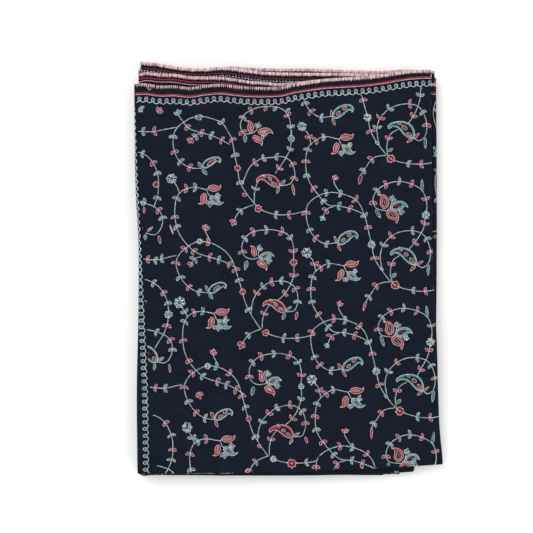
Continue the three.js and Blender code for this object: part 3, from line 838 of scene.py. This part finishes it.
def late_motifs(chart, row):
    flower = (*PALE, "teal") if row == 1 else (*PINK, "rose")
    base_leaf = PINK if row == 1 else GREEN
    rosette(chart, (0, 0), 3.2, *flower)
    rosette(chart, (-20.6, 36.6), 2.7, *PINK, "red")
    rosette(chart, (25, 63.3), 3.1, *(*GREEN, "sage") if row == 1 else (*PINK, "red"))
    rosette(chart, (-59.7, 82.5), 2.7, "sage", *GREEN)
    bud(chart, (-54.2, 93), 85, 5.5, *PINK)
    bud(chart, (-60, -54), -70, 5.4, *PINK)
    bud(chart, (-21, -9.5), -115, 6.2, *PINK)
    bud(chart, (-44, 6.5), -85, 5.4, *GREEN)
    bud(chart, (-38.5, 11.5), 12, 5, *PALE)
    petal(chart, (-9.7, 69), (-12.3, 79), 1, *PINK, "rose")
    petal(chart, (-5.8, 67.6), (7, 71.4), -1, *GREEN, "red")
    petal(chart, (-7.6, 64.8), (1.4, 57.6), -1, *PINK, "sage")
    bud(chart, (-5.6, 74.6), 80, 5, *PALE)
    bud(chart, (1.2, 66), -15, 5, *GREEN)
    paisley(chart, DROP, (-52, 36.2), (-35.3, 42.6), 0.97, *GREEN, *PINK,
            [(0.2, 0.03, 5), (0.5, 0.13, 5)] if row == 1 else [], 0.9)
    if row == 1:
        rosette(chart, (16.5, -5.6), 4, *PINK, "rose")
    paisley(chart, PAISLEY, (17.8, 18.6), (-2.8, 27), -1, *PINK, *GREEN,
            [(0.12, 0.02, 5), (0.36, 0.13, 4.6), (0.62, 0.19, 4.2)], 1.7)
    leaves(chart, [
        ((-10.5, 11), 150, 4, 2.6, *PINK) if row == 1 else ((-47.5, 38.4), 30, 7, 2.8, *PINK),
        ((28.8, 18.4), -88, 7.2, 2.8, *PINK), ((-17.4, 65), -90, 8.5, 3.4, *GREEN),
        ((-52.4, 37.6), 112, 5.6, 3, *base_leaf), ((-51.4, 35.4), -62, 6, 3, *base_leaf),
        ((18.6, 19.4), 35, 6.2, 2.8, *GREEN), ((17.4, 17.6), -115, 6.4, 2.8, *GREEN),
    ])


def edge_motifs(chart, row):
    if row == -1:
        rosette(chart, (26.6, 63.6), 2.7, *PINK, "red")
        bud(chart, (17, 46.6), 160, 5, *GREEN)
        leaves(chart, [
            ((15.6, 43), -92, 5.4, 2.8, *PINK), ((15, 21.6), 95, 5, 2.8, *PINK),
            ((19, 21.4), 40, 6.2, 3, "rose", "sage"), ((17.4, 18.4), -95, 5.2, 2.8, *PALE),
            ((29.8, 17.5), -85, 7.6, 2.8, *PINK), ((39.4, 27), -78, 8.5, 1.3, "rose", "rose"),
        ])
    elif row != 1:
        rosette(chart, (28.9, 62), 3.5, "sage", *GREEN)
        paisley(chart, PAISLEY, (18.7, 18.6), (-4.6, 30.5), -1, *GREEN, *PINK,
                [(0.08, 0.03, 5), (0.3, 0.1, 5)])
        leaves(chart, [
            ((19.4, 19.6), 35, 6.2, 3.2, *PALE), ((17, 17.4), -100, 6.2, 3, *GREEN),
            ((30.5, 17.2), -85, 7.2, 2.8, *PINK), ((6.6, 75.4), -25, 5, 3, *PALE),
        ])


MOTIFS = {"even": even_motifs, "odd": odd_motifs, "late": late_motifs, "edge": edge_motifs}
for kind, column in (("edge", -2), ("late", -1), ("even", 0)):
    print("stitches in one repeat,", kind, sum(map(len, repeat_chart(column, 0).values())))

# %% [markdown]
# ## Laying the repeat on the cloth
#
# Hand work drifts: each column of repeats has its own step, and the lines wander by a
# millimetre or so, more where a flower was begun too far to one side. A repeat is worked
# anew wherever some of it shows, and stitches outside the field, past the border or deep in
# a fold, are left out. Where a repeat would be cut short, the border has a few small buds.

# %% Where each repeat lies
COLUMN_AT = {                         # a red flower of each column, and the step to the next
    -2: ((-138.5, -100.8), (9.0, -116.2)), -1: ((-21.3, -55.4), (7.2, -112.6)),
    0: ((96.1, -12.3), (4.4, -115.0)), 1: ((214.0, 31.0), (4.4, -115.0)),
}
LOWER_COLUMN_AT = {column: ((-374 + 117.5 * column, -185.5 + 43.3 * column), (4.4, -113.8))
                   for column in (2, 3, 4, 5)}     # and of the cloths below, where it is even
REPEAT_REACH = {"far": 100, "near": 60}     # of a repeat from its red flower
STRAYED = {(-2, 1): (-4.8, -5.8)}     # one repeat that was begun out of line
WANDER = [                            # lines that strayed: p, q, how far along p and q, reach
    (-108, 6, -5, 0, 16), (-101, -108, -4.4, 0, 16), (-72, -162, -0.5, -1.8, 18),
    (100, 135, 3.8, 0, 22), (110, -101, 3, 0.5, 15), (100, -168, 4.3, 0, 22),
    (-45, -137, -1.8, -2.4, 40), (-101, 142, 3, 0.5, 12), (58, -174, 2.5, -1.5, 22),
    (-30, -185, 0, -1.4, 50),
]


def drift(p, q):
    """The wander of hand work, in millimetres along p and q."""
    dp = 0.3 * np.sin(q / 9 + 1.3) + 0.2 * np.sin(p / 7 + q / 13)
    dq = 0.3 * np.sin(p / 8 + 0.4) + 0.2 * np.sin(q / 11 - p / 17)
    for at_p, at_q, along, aside, reach in WANDER:
        share = np.exp(-((p - at_p) ** 2 + (q - at_q) ** 2) / reach ** 2)
        dp, dq = dp + along * share, dq + aside * share
    return dp, dq


print("places that strayed:", len(WANDER) + len(STRAYED))

# %% Which places are embroidered
LEFT_BORDER = [(-185, -127.2), (-110, -128.4), (-40, -131.5), (25, -134.6), (95, -137.9),
               (153, -139.6)]
FAR_BORDER = [(-138, 18.0), (-40, 17.0), (130, 15.6)]   # from the selvedge to the field
FIELD_GAP = 1.5                       # between the left border and the field
FIELD_ROUND_FOLD = 6.0                # the field runs on past the axis of the side fold
BARE = [                              # plain places in the field: p from and to, q from and to
    (-145, -76, 142.5, 175), (76, 108, 158, 175), (-100, -86.5, 112, 126.4),
    (-132, -120.5, -182, -172), (-132, -124, -137, -125), (26.5, 38, -174, -167.5),
]


def fold_middle(pan, p):
    """The place q on the outermost line of the lengthwise fold."""
    return curve(pan["near"], p) + EDGE_REACH - EDGE_RADIUS * math.pi / 2


def in_front_field(p, q, room=0.0):
    """Which places lie in the embroidered field of the first panel."""
    inside = q < far_edge(FIRST, "upper", p) - curve(FAR_BORDER, p) - room
    inside &= p > curve(LEFT_BORDER, q) + FIELD_GAP + room
    inside &= p < curve(FIRST["lines"]["right"], q) - FOLD_REACH + FIELD_ROUND_FOLD
    for p_from, p_to, q_from, q_to in BARE:
        inside &= (p < p_from) | (p > p_to) | (q < q_from) | (q > q_to)
    return inside & (q > fold_middle(FIRST, p))


def past_sides(pan, p, y):
    """How far past each side fold's axis a place lies."""
    return {side: out * (p - curve(pan["lines"][side], y)) + FOLD_REACH
            for side, out in (("left", -1), ("right", 1))}


PLAIN_NEAR_EDGE = (-45, 90)           # along p, where the near edges of the lower panels are plain
STRIP = {"first": 3.4, "lower": 1.8}  # half width at the near edge, of the first panel and below
SIDE_STRIP = {"from": -0.8, "outer": 3.2, "inner": 1.6, "far": 165}     # round a side fold


def in_edge_strips(pan):
    """Which places of a panel inside the pack show at its near edge or round a side fold."""
    def inside(p, q, room=0.0):
        fold = fold_middle(pan, p)
        y = np.where(q > fold, q, 2 * fold - q)
        if pan is FIRST:
            shows = (np.abs(q - fold) < STRIP["first"]) & (q < fold)
        else:
            shows = (p < PLAIN_NEAR_EDGE[0]) | (p > PLAIN_NEAR_EDGE[1])
            shows &= np.abs(q - fold) < STRIP["lower"]
        for side, over in past_sides(pan, p, y).items():
            outer = (q > fold) == (pan["turns"][side] == "down")
            turned_side = pan["turns"][side] != "flat"
            if pan is not FIRST:
                shows |= outer & (over > SIDE_STRIP["from"]) & turned_side
            width = np.where(outer & turned_side, SIDE_STRIP["outer"], SIDE_STRIP["inner"])
            shows &= over < width
        return shows & (y < SIDE_STRIP["far"])
    return inside


UNDERSIDE_FIELD = {"far": 161, "end_border": 13}


def on_underside(p, q, room=0.0):
    """Which places show on the underside: the lowest cloth, short of its borders."""
    fold = fold_middle(LAST, p)
    y = 2 * fold - q
    over = past_sides(LAST, p, y)
    inside = (q < fold) & (y < UNDERSIDE_FIELD["far"] - room) & (over["left"] < 0)
    return inside & (over["right"] < -UNDERSIDE_FIELD["end_border"] - room)


print("plain places in the front field:", len(BARE))

# %% The field and its repeats
BELOW = (-560, -180)                  # along q, the lower cloth and its lengthwise fold
PANEL_SHIFT = 31.0                    # of the repeats along q, from panel to panel
MOTIF_ROOM = 1.2                      # a leaf or flower keeps its middle this far inside


def field(inside, nearest=-190, farthest=190, shift=0.0, columns=COLUMN_AT):
    """Every repeat's stitches for which inside(p, q) holds, thread by thread, on cloth
    between two places along q. The repeats of other panels are shifted along q."""
    found = empty_chart()
    for column, (start, step) in columns.items():
        for row in range(-3, 8):
            at = np.array(start) + row * np.array(step) - (0, shift)
            at = at + STRAYED.get((column, row), 0)
            if not nearest - REPEAT_REACH["far"] < at[1] < farthest + REPEAT_REACH["near"]:
                continue
            for thread, rows in repeat_chart(column, row).items():
                rows = rows + [at[0], at[1], 0, 0, 0, 0, 0, at[0], at[1]]
                in_motif = (rows[:, 0] != rows[:, 7]) | (rows[:, 1] != rows[:, 8])
                dp, dq = drift(rows[:, 7], rows[:, 8])
                rows[:, 0] += dp
                rows[:, 1] += dq
                keep = inside(rows[:, 0], rows[:, 1])
                keep &= ~in_motif | inside(rows[:, 7] + dp, rows[:, 8] + dq, MOTIF_ROOM)
                found[thread].append(rows[keep, :7])
    return {thread: np.vstack(rows) for thread, rows in found.items()}


front = field(in_front_field)
strips = [field(in_edge_strips(pan), BELOW[0], 190, PANEL_SHIFT * number, LOWER_COLUMN_AT)
          for number, pan in enumerate(PANELS)]
strips[0] = field(in_edge_strips(FIRST), *BELOW)      # the first runs on from the front field
underside = field(on_underside, *BELOW, 0.0, LOWER_COLUMN_AT)
buds = empty_chart()
bud(buds, (-100.5, 142.5), 100, 5, *GREEN)
bud(buds, (-119.5, 144.5), 50, 5.5, *PINK)
bud(buds, (-135.5, 148.5), -50, 5, *PALE)
stem(buds, trace([(-113, 128.8), (-109, 129.6), (-105, 130.4), (-101.5, 131)]))
stem(buds, trace([(-107.4, 13.5), (-104.8, 14), (-102.3, 14.6)]))
sprig = trace([(-80.6, 126.8), (-84.2, 123.6), (-88.5, 121)])
stem(buds, sprig)
leaf_pair(buds, sprig, 5, *GREEN)
bud(buds, (-89, 120.6), -118, 4.8, *PINK)
for thread, rows in stacked(buds).items():
    front[thread] = np.vstack([front[thread], rows])
print("stitches in the front field:", {thread: len(rows) for thread, rows in front.items()})
print("stitches on the underside:", {thread: len(rows) for thread, rows in underside.items()})

# %% [markdown]
# ## From rows to silk
#
# One stitch is a small spindle, made once with `create_uvsphere`. Its copies are stretched,
# turned and bent to the cloth by the fold function, and joined into one mesh for each thread.

# %% One stitch, copied
THREAD = {"height": 0.62, "sunk": 0.12}
UNEVEN = (0.05, 0.05, 0.03, 0.08, 0.03, 0.015, 0.22)  # p, q, heading, length, width, lift, tint
random = np.random.default_rng(11)


def spindle(segments, rings, blunt=1.0):
    """A closed spindle one unit long and wide: its points and its triangles. A blunt one keeps
    its full width for longer."""
    sketch = bmesh.new()
    bmesh.ops.create_uvsphere(sketch, u_segments=segments, v_segments=rings, radius=0.5)
    bmesh.ops.triangulate(sketch, faces=sketch.faces[:])
    sketch.verts.ensure_lookup_table()
    points = np.array([(v.co.z, v.co.x, v.co.y) for v in sketch.verts])
    girth = 2 * np.linalg.norm(points[:, 1:], axis=1, keepdims=True)
    points[:, 1:] *= np.minimum(1, blunt * girth) / np.maximum(girth, 0.01)
    corners = np.array([[v.index for v in face.verts] for face in sketch.faces])
    sketch.free()
    return points, corners


def joined(name, points, values, corners):
    """One object of many equal shapes: points and values are (copies, points, 3)."""
    copies, count = points.shape[:2]
    mesh = bpy.data.meshes.new(name)
    mesh.vertices.add(copies * count)
    mesh.vertices.foreach_set("co", (points * MM).ravel())
    index = (corners[None] + np.arange(copies)[:, None, None] * count).ravel()
    mesh.loops.add(len(index))
    mesh.loops.foreach_set("vertex_index", index)
    mesh.polygons.add(len(index) // 3)
    mesh.polygons.foreach_set("loop_start", np.arange(0, len(index), 3))
    mesh.polygons.foreach_set("loop_total", np.full(len(index) // 3, 3))
    thread = mesh.attributes.new("thread", "FLOAT_VECTOR", "POINT")
    thread.data.foreach_set("vector", values.ravel())
    mesh.update(calc_edges=True)
    mesh.validate()
    mesh.shade_smooth()
    return show(name, mesh)


STITCH, PLAIN_STITCH = spindle(4, 3), spindle(3, 3)


def sewn(name, sets, made_of=STITCH, height=1.0):
    """An object of all stitches in sets of (panel, face, rows)."""
    shape, corners = made_of
    points, values = [], []
    for pan, face, rows in sets:
        rows = rows + random.normal(0, 1, rows.shape) * UNEVEN
        p, q, heading, length, width, lift, tint = rows.T[:, :, None]
        along, aside = shape[:, 0] * length, shape[:, 1] * width * face
        cos, sin = np.cos(heading), np.sin(heading)
        p, q = p + cos * along - sin * aside, q + sin * along + cos * aside
        place, out = surface(pan, p, q, face)
        rise = lift - THREAD["sunk"] + (shape[:, 2] + 0.5) * THREAD["height"] * np.minimum(1, width)
        points.append(place + out * rise[..., None] * height)
        tint = np.clip(tint, 0, 1) + 0 * along
        values.append(np.stack([along, 2 * shape[:, 1] + 0 * along, tint], -1))
    return joined(name, np.concatenate(points), np.concatenate(values), corners)

# %% [markdown]
# ## Borders and selvedges
#
# A border runs along the selvedge and the short end: loops beside a scalloped line. Along the
# selvedge a pale line and a red one follow it. The selvedge itself is whipped over with rose
# silk, which shows as a light fringe of short stripes. The cloths below carry lines of their
# own, of which a strip shows at the far side.

# %% Border lines and loops
LOOP = {"pitch": 6.2, "radius": (1.5, 1.75), "from_red": 5.3}
SCALLOP = {"from_loops": 2.5, "swing": 0.8, "pitch": 1.3}
ROUND_FOLD = 2.4                      # a selvedge is worked this many radii round a side fold


def selvedge_reach(pan, cloth_of, p):
    """The places along a selvedge that lie on the panel or in its side folds."""
    height = EDGE_RADIUS if cloth_of == "upper" else -EDGE_RADIUS
    on_panel = np.full(len(p), True)
    for side, over in past_sides(pan, p, curve(pan[cloth_of], p)).items():
        turned_side = pan["turns"][side] != "flat"
        turn = ROUND_FOLD * fold_radius(pan, side, height)
        on_panel &= over < (turn if turned_side else FOLD_REACH)
    return p[on_panel]


def beside_selvedge(pan, cloth_of, start, stop, distance, sway=None):
    """Points along a selvedge, at a distance inwards from it that may sway as a table says."""
    p = selvedge_reach(pan, cloth_of, np.arange(start, stop, 3.0))
    distance = distance + (curve(sway, p) if sway else 0)
    inward = distance if cloth_of == "lower" else -distance
    return np.stack([p, far_edge(pan, cloth_of, p) + inward], -1)


def loops(chart, points, side):
    """A row of loops on a line, with a scalloped line to one side of it."""
    line = trace(points)
    ring = round_about(np.arange(8) * math.tau / 7) * LOOP["radius"]
    for place, heading in zip(*walk(line, evenly(line, LOOP["pitch"]))):
        sew(chart, "sage", turned(chain(ring, 0.75, 0.05), place, heading))
        sew(chart, "teal", turned(stitches((0, 0), 0.3, 1.7, 1.2, 0.02), place, heading))
    at = np.arange(0, line[-1, 0], SCALLOP["pitch"])
    places, heading = walk(line, at)
    pitch = line[-1, 0] / max(1, round(line[-1, 0] / LOOP["pitch"]))
    swing = SCALLOP["from_loops"] + SCALLOP["swing"] * np.cos(at / pitch * math.tau)
    normal = np.stack([-np.sin(heading), np.cos(heading)], -1) * side
    sew(chart, "sage", chain(places + normal * swing[:, None], 0.85, 0.05))


def running(chart, thread, points, pitch, length, width, slant=0.1, swing=0.0):
    """A plain line of stitches, one behind the other, whose slant may swing to and fro."""
    line = trace(points)
    places, heading = walk(line, evenly(line, pitch))
    heading = heading + slant + swing * (-1) ** np.arange(len(places))
    sew(chart, thread, stitches(places, heading, length, width, 0.04))


def lines_beside(pan, cloth_of, start, stop, lines):
    """A chart of plain lines along a selvedge: rows of (thread, distance, and how it is sewn)."""
    chart = empty_chart()
    for thread, distance, *sewing in lines:
        running(chart, thread, beside_selvedge(pan, cloth_of, start, stop, distance), *sewing)
    return chart


print("a loop every", LOOP["pitch"], "mm")

# %% The borders
FRONT_SWAY = [(-138, 8.6), (-90, 7.8), (-40, 7.6), (5, 7), (60, 7.4), (130, 6.2)]  # to the red line
LEFT_LOOPS = 3.4                      # from the left border's edge to the middle of its loops
LOOSE_THREAD = [(-130.5, 171), (-128.8, 167.6), (-126.8, 164.4), (-125.4, 167), (-124.8, 170.6)]

front_border = empty_chart()
red_line, rose_line, loop_line = (
    beside_selvedge(FIRST, "upper", -139, 135.5, distance, FRONT_SWAY)
    for distance in (0, 1.2, LOOP["from_red"]))
running(front_border, "red", red_line, 1.5, 2.6, 1.05)
running(front_border, "rose", rose_line, 1.5, 2.6, 0.7)
loops(front_border, loop_line, -1)
q = np.arange(-183, 151, 4.0)
loops(front_border, np.stack([curve(LEFT_BORDER, q) - LEFT_LOOPS, q], -1), -1)
loose_thread = trace(LOOSE_THREAD)
loose_places, _ = walk(loose_thread, evenly(loose_thread, 1.1))
sew(front_border, "rose", chain(loose_places, 0.5, 0.35, 1.0))

second_border = lines_beside(SECOND, "upper", -139, 133, [
    ("red", 5.1, 1.5, 2.7, 0.95), ("rose", 7.5, 1.5, 2.6, 0.62)])
second_back = lines_beside(SECOND, "lower", -139, 133, [
    ("red", 5.7, 3.1, 2.7, 0.9, 0.1, 0.25), ("sage", 7.9, 2.9, 2.4, 0.75, 0.2, 0.55)])
third_back = lines_beside(THIRD, "lower", -137, 133, [
    ("red", 5.9, 3.3, 2.5, 1.0), ("sage", 8.0, 2.9, 2.1, 0.85, 0.5)])
third_border = lines_beside(THIRD, "upper", -137, 138, [
    ("red", 8.2, 1.5, 2.7, 0.9), ("rose", 9.8, 1.5, 2.6, 0.8)])
underside_border = lines_beside(LAST, "lower", -134, 127, [("red", 8, 3, 4.4, 1.05)])
loops(underside_border, beside_selvedge(LAST, "lower", -134, 119, 13), 1)
q = np.arange(-181, 164, 4.0)
end_line = np.stack([curve(LAST["lines"]["right"], q) - 8, 2 * fold_middle(LAST, 100) - q], -1)
loops(underside_border, end_line, -1)
print("stitches in the front border:", sum(map(len, stacked(front_border).values())))

# %% Wrapped selvedges
WRAP, HIDDEN_WRAP = spindle(4, 11, 2.2), spindle(4, 7)
WRAP_REACH = 2.6                      # of a wrapping thread over each face of the cloth
WRAP_IN = 0.4                         # its turn is drawn in from the edge by this much
WRAP_OVER = 0.12                      # its middle lies this far off the cloth
WRAP_LEAN = 0.08                      # how far it leans over, for each millimetre along it
EDGE_PROBE = 0.4                      # step for measuring which way the cloth ends


def wrapped(name, edges, made_of):
    """Threads round the selvedges: edges are (panel, cloth, start, stop, pitch, width)."""
    shape, corners = made_of
    share = np.arcsin(np.clip(2 * shape[:, 0], -1, 1)) / math.pi    # rings at even distances
    points, values = [], []
    radius = CLOTH / 2 + WRAP_OVER
    quarter = math.pi / 2 * radius
    for pan, cloth_of, start, stop, pitch, width in edges:
        p = np.arange(start, stop, pitch)
        p = selvedge_reach(pan, cloth_of, p + random.normal(0, 0.16, len(p)) * pitch)
        q = far_edge(pan, cloth_of, p)
        inward = EDGE_PROBE if cloth_of == "lower" else -EDGE_PROBE
        middle = lay(pan, p, q)
        outward = unit(middle - lay(pan, p, q + inward))
        beside = lay(pan, p + PROBE, q) - lay(pan, p - PROBE, q)
        beside = unit(beside - outward * np.sum(beside * outward, -1, keepdims=True))
        up = np.cross(outward, beside)
        reach = WRAP_REACH * (1 + random.normal(0, 0.09, len(p)))[:, None]
        at = share * (2 * reach + 2 * quarter)
        angle = np.clip(at / radius, -math.pi / 2, math.pi / 2)
        thick = shape[:, 2] * THREAD["height"]
        u = (radius + thick) * np.cos(angle) - np.maximum(np.abs(at) - quarter, 0) - WRAP_IN
        w = (radius + thick) * np.sin(angle)
        v = shape[:, 1] * width + at * WRAP_LEAN
        place = middle[:, None] + outward[:, None] * u[..., None] + up[:, None] * w[..., None]
        points.append(place + beside[:, None] * v[..., None])
        tint = np.clip(0.55 + random.normal(0, 0.3, len(p)), 0, 1)[:, None] + 0 * at
        values.append(np.stack([at, 2 * shape[:, 1] + 0 * at, tint], -1))
    return joined(name, np.concatenate(points), np.concatenate(values), corners)


selvedge = wrapped("selvedge_overcast", [
    (FIRST, "upper", -138, 8, 1.75, 0.85), (FIRST, "upper", 8, 136, 1.0, 0.95),
    (FIRST, "lower", -137, 134, 1.6, 1.0),
    (SECOND, "upper", -138, 133, 1.0, 0.95), (SECOND, "lower", -138, 133, 1.0, 1.1),
    (THIRD, "upper", -138, 138, 1.1, 1.0), (THIRD, "lower", -138, 138, 1.1, 1.15),
], WRAP)
lower_edges = wrapped("hidden_overcast", [
    (pan, cloth_of, -137, 131, 2.1, 1.2) for pan in PANELS[3:] for cloth_of in ("upper", "lower")],
    HIDDEN_WRAP)

# %% Stitches as pieces, one for each thread
BORDERS = [(pan, face, stacked(chart)) for pan, face, chart in (
    (FIRST, 1, front_border), (SECOND, 1, second_border), (SECOND, -1, second_back),
    (THIRD, -1, third_back), (THIRD, 1, third_border))]
UNDERSIDE = (underside, stacked(underside_border))
LOW = {"edges": 0.5, "underside": 0.3}    # share of their height left to pressed stitches

threads = {}
for thread in THREADS:
    threads[f"{thread}_field"] = sewn(f"{thread}_field", [(FIRST, 1, front[thread])])
for thread in THREADS:
    sets = [(pan, face, rows[thread]) for pan, face, rows in BORDERS if thread in rows]
    threads[f"{thread}_border"] = sewn(f"{thread}_border", sets)
for thread in THREADS:
    sets = [(pan, 1, rows[thread]) for pan, rows in zip(PANELS, strips)]
    threads[f"{thread}_edges"] = sewn(f"{thread}_edges", sets, PLAIN_STITCH, LOW["edges"])
    rows = np.vstack([part[thread] for part in UNDERSIDE if thread in part])
    sets, height = [(LAST, 1, rows)], LOW["underside"]
    threads[f"{thread}_underside"] = sewn(f"{thread}_underside", sets, PLAIN_STITCH, height)
for name, obj in threads.items():
    print(name, len(obj.data.polygons), "triangles")
print("selvedges", len(selvedge.data.polygons), "+", len(lower_edges.data.polygons))

# %% [markdown]
# ## Finishes
#
# Two small groups of nodes do the work: one twists silk and paints shade into the grooves
# between its strands, the other weaves the twill and raises its nap. The numbers that make
# one thread differ from another are their inputs.

# %% Helpers for node groups
COLOUR, NUMBER = "NodeSocketColor", "NodeSocketFloat"
# painted shade: a near-black drawn into the grooves between the strands of a thread
PLY_GROOVE_SHADE = (0.01, 0.01, 0.015, 1)       # between the strands of a thread


def node_group(name, inputs):
    """A shader group that gives a colour and a height. Its inputs are numbers and colours."""
    tree = bpy.data.node_groups.new(name, "ShaderNodeTree")
    for socket, value in inputs.items():
        kind = COLOUR if isinstance(value, tuple) else NUMBER
        made = tree.interface.new_socket(socket, in_out="INPUT", socket_type=kind)
        made.default_value = value
    for socket, kind in (("Color", COLOUR), ("Height", NUMBER)):
        tree.interface.new_socket(socket, in_out="OUTPUT", socket_type=kind)
    return tree, tree.nodes.new("NodeGroupInput").outputs, tree.nodes.new("NodeGroupOutput").inputs


def add(tree, kind, links, **settings):
    """A node with its settings, fed by links of {input: socket or value}."""
    node = tree.nodes.new(kind)
    for key, value in settings.items():
        setattr(node, key, value)
    for key, value in links.items():
        if isinstance(value, bpy.types.NodeSocket):
            tree.links.new(value, node.inputs[key])
        else:
            node.inputs[key].default_value = value
    return node


def sum_of(tree, operation, *values):
    return add(tree, "ShaderNodeMath", dict(enumerate(values)), operation=operation).outputs[0]


def blend_of(tree, factor, a, b):
    """Colours a and b mixed; each is a socket or a colour."""
    return add(tree, "ShaderNodeMix", {0: factor, 6: a, 7: b}, data_type="RGBA").outputs[2]


def wave_of(tree, turns):
    """A sine wave between 0 and 1, once for each turn."""
    sine = sum_of(tree, "SINE", sum_of(tree, "MULTIPLY", turns, math.tau))
    return sum_of(tree, "MULTIPLY_ADD", sine, 0.5, 0.5)


def place_of(tree, attribute):
    """An attribute and its three numbers."""
    node = add(tree, "ShaderNodeAttribute", {}, attribute_name=attribute)
    split = add(tree, "ShaderNodeSeparateXYZ", {0: node.outputs["Vector"]})
    return node.outputs["Vector"], split.outputs

# %% Twisted silk, with painted shade between its strands
silk, given, out = node_group("twisted_silk", {
    "Light": (0.6, 0.6, 0.6, 1), "Dark": (0.3, 0.3, 0.3, 1), "Twist": 0.9, "Depth": 0.35})
_, (along, aside, tint) = place_of(silk, "thread")
turn = sum_of(silk, "ADD", sum_of(silk, "DIVIDE", along, given["Twist"]),
              sum_of(silk, "MULTIPLY", aside, 0.45))
ply = wave_of(silk, turn)
# painted shade: the grooves between the strands are darkened towards the near-black by this share
shade = sum_of(silk, "MULTIPLY", sum_of(silk, "SUBTRACT", 1.0, ply), given["Depth"])
tone = blend_of(silk, tint, given["Dark"], given["Light"])
silk.links.new(blend_of(silk, shade, tone, PLY_GROOVE_SHADE), out["Color"])
silk.links.new(ply, out["Height"])
print("twisted_silk:", len(silk.nodes), "nodes")

# %% Cashmere twill
twill, given, out = node_group("cashmere_twill", {
    "Ground": (0.01, 0.013, 0.02, 1), "Nap": (0.02, 0.024, 0.035, 1), "Edge": (0.4, 0.25, 0.25, 1),
    "Rib": 0.65, "Edge Width": 1.6})
where, (along, across, edge) = place_of(twill, "weave_place")
rib = wave_of(twill, sum_of(twill, "DIVIDE", sum_of(twill, "ADD", along, across), given["Rib"]))
cloud = add(twill, "ShaderNodeTexNoise", {"Vector": where, "Scale": 0.06, "Detail": 4.0})
fuzz = add(twill, "ShaderNodeTexNoise",
           {"Vector": where, "Scale": 1.6, "Detail": 3.0, "Roughness": 0.7})
worn = sum_of(twill, "MULTIPLY", cloud.outputs[0], 0.7)
lift = sum_of(twill, "MULTIPLY_ADD", fuzz.outputs[0], 1.1, worn)
lift = add(twill, "ShaderNodeMapRange", {0: lift, 1: 0.65, 2: 1.25, 3: 0.0, 4: 1.0}).outputs[0]
tone = blend_of(twill, lift, given["Ground"], given["Nap"])
near_edge = sum_of(twill, "LESS_THAN", edge, given["Edge Width"])
stripe = sum_of(twill, "SINE", sum_of(twill, "MULTIPLY", along, math.tau / 1.9))
striped = sum_of(twill, "MULTIPLY", near_edge, sum_of(twill, "GREATER_THAN", stripe, -0.3))
twill.links.new(blend_of(twill, striped, tone, given["Edge"]), out["Color"])
twill.links.new(sum_of(twill, "MULTIPLY_ADD", fuzz.outputs[0], 0.8, rib), out["Height"])
print("cashmere_twill:", len(twill.nodes), "nodes")

# %% Materials
def finish_of(name, group, roughness, specular, bump, **settings):
    """A material whose colour and relief come from one of the groups, with these inputs."""
    material = bpy.data.materials.new(name)
    material.use_nodes = True
    tree = material.node_tree
    finish = tree.nodes["Principled BSDF"].inputs
    made = add(tree, "ShaderNodeGroup", {}, node_tree=group)
    for key, value in settings.items():
        made.inputs[key].default_value = value
    relief = add(tree, "ShaderNodeBump", {"Height": made.outputs["Height"], "Strength": bump,
                                          "Distance": 0.0003})
    tree.links.new(made.outputs["Color"], finish["Base Color"])
    tree.links.new(relief.outputs["Normal"], finish["Normal"])
    finish["Roughness"].default_value = roughness
    finish["Specular IOR Level"].default_value = specular
    return material


def srgb(red, green, blue):
    """A colour given in the usual 0 to 255, made linear."""
    return tuple(((c / 255 + 0.055) / 1.055) ** 2.4 if c > 10 else c / 255 / 12.92
                 for c in (red, green, blue)) + (1,)


SILKS = {                             # light and dark strand of each thread
    "sage": (srgb(238, 247, 250), srgb(148, 174, 178)),
    "rose": (srgb(252, 212, 218), srgb(222, 162, 172)),
    "red": (srgb(202, 42, 64), srgb(148, 26, 46)),
    "teal": (srgb(112, 190, 178), srgb(62, 124, 118)),
}
TWILLS = {                            # ground and nap of the cloth's right and wrong sides
    "embroidered_twill": (srgb(7, 13, 24), srgb(21, 29, 43)),
    "plain_twill": (srgb(8, 13, 24), srgb(22, 30, 44)),
}
SILK_FINISH = {thread: finish_of(f"{thread}_silk", silk, 0.6, 0.3, 0.6, Light=light, Dark=dark)
               for thread, (light, dark) in SILKS.items()}
for name, obj in threads.items():
    obj.data.materials.append(SILK_FINISH[name.split("_")[0]])
# the selvedge silk has a little less painted shade between its strands
edge_finish = finish_of("selvedge_silk", silk, 0.65, 0.25, 0.6,
                        Light=srgb(255, 230, 228), Dark=srgb(186, 138, 146), Depth=0.26)
for obj in (selvedge, lower_edges):
    obj.data.materials.append(edge_finish)
for name, (ground, nap) in TWILLS.items():
    cloth.data.materials.append(finish_of(name, twill, 0.92, 0.12, 0.5, Ground=ground, Nap=nap,
                                          Edge=srgb(150, 110, 116)))

# %% [markdown]
# ## Telling the frame what each piece is
#
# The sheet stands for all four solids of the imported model, and the silk lies on it.

# %% Declarations
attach(cloth, "root")
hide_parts("front_panel", "second_panel", "third_panel", "hidden_layers")
for name, obj in threads.items():
    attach(obj, "root")
for obj in (selvedge, lower_edges):
    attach(obj, "root")
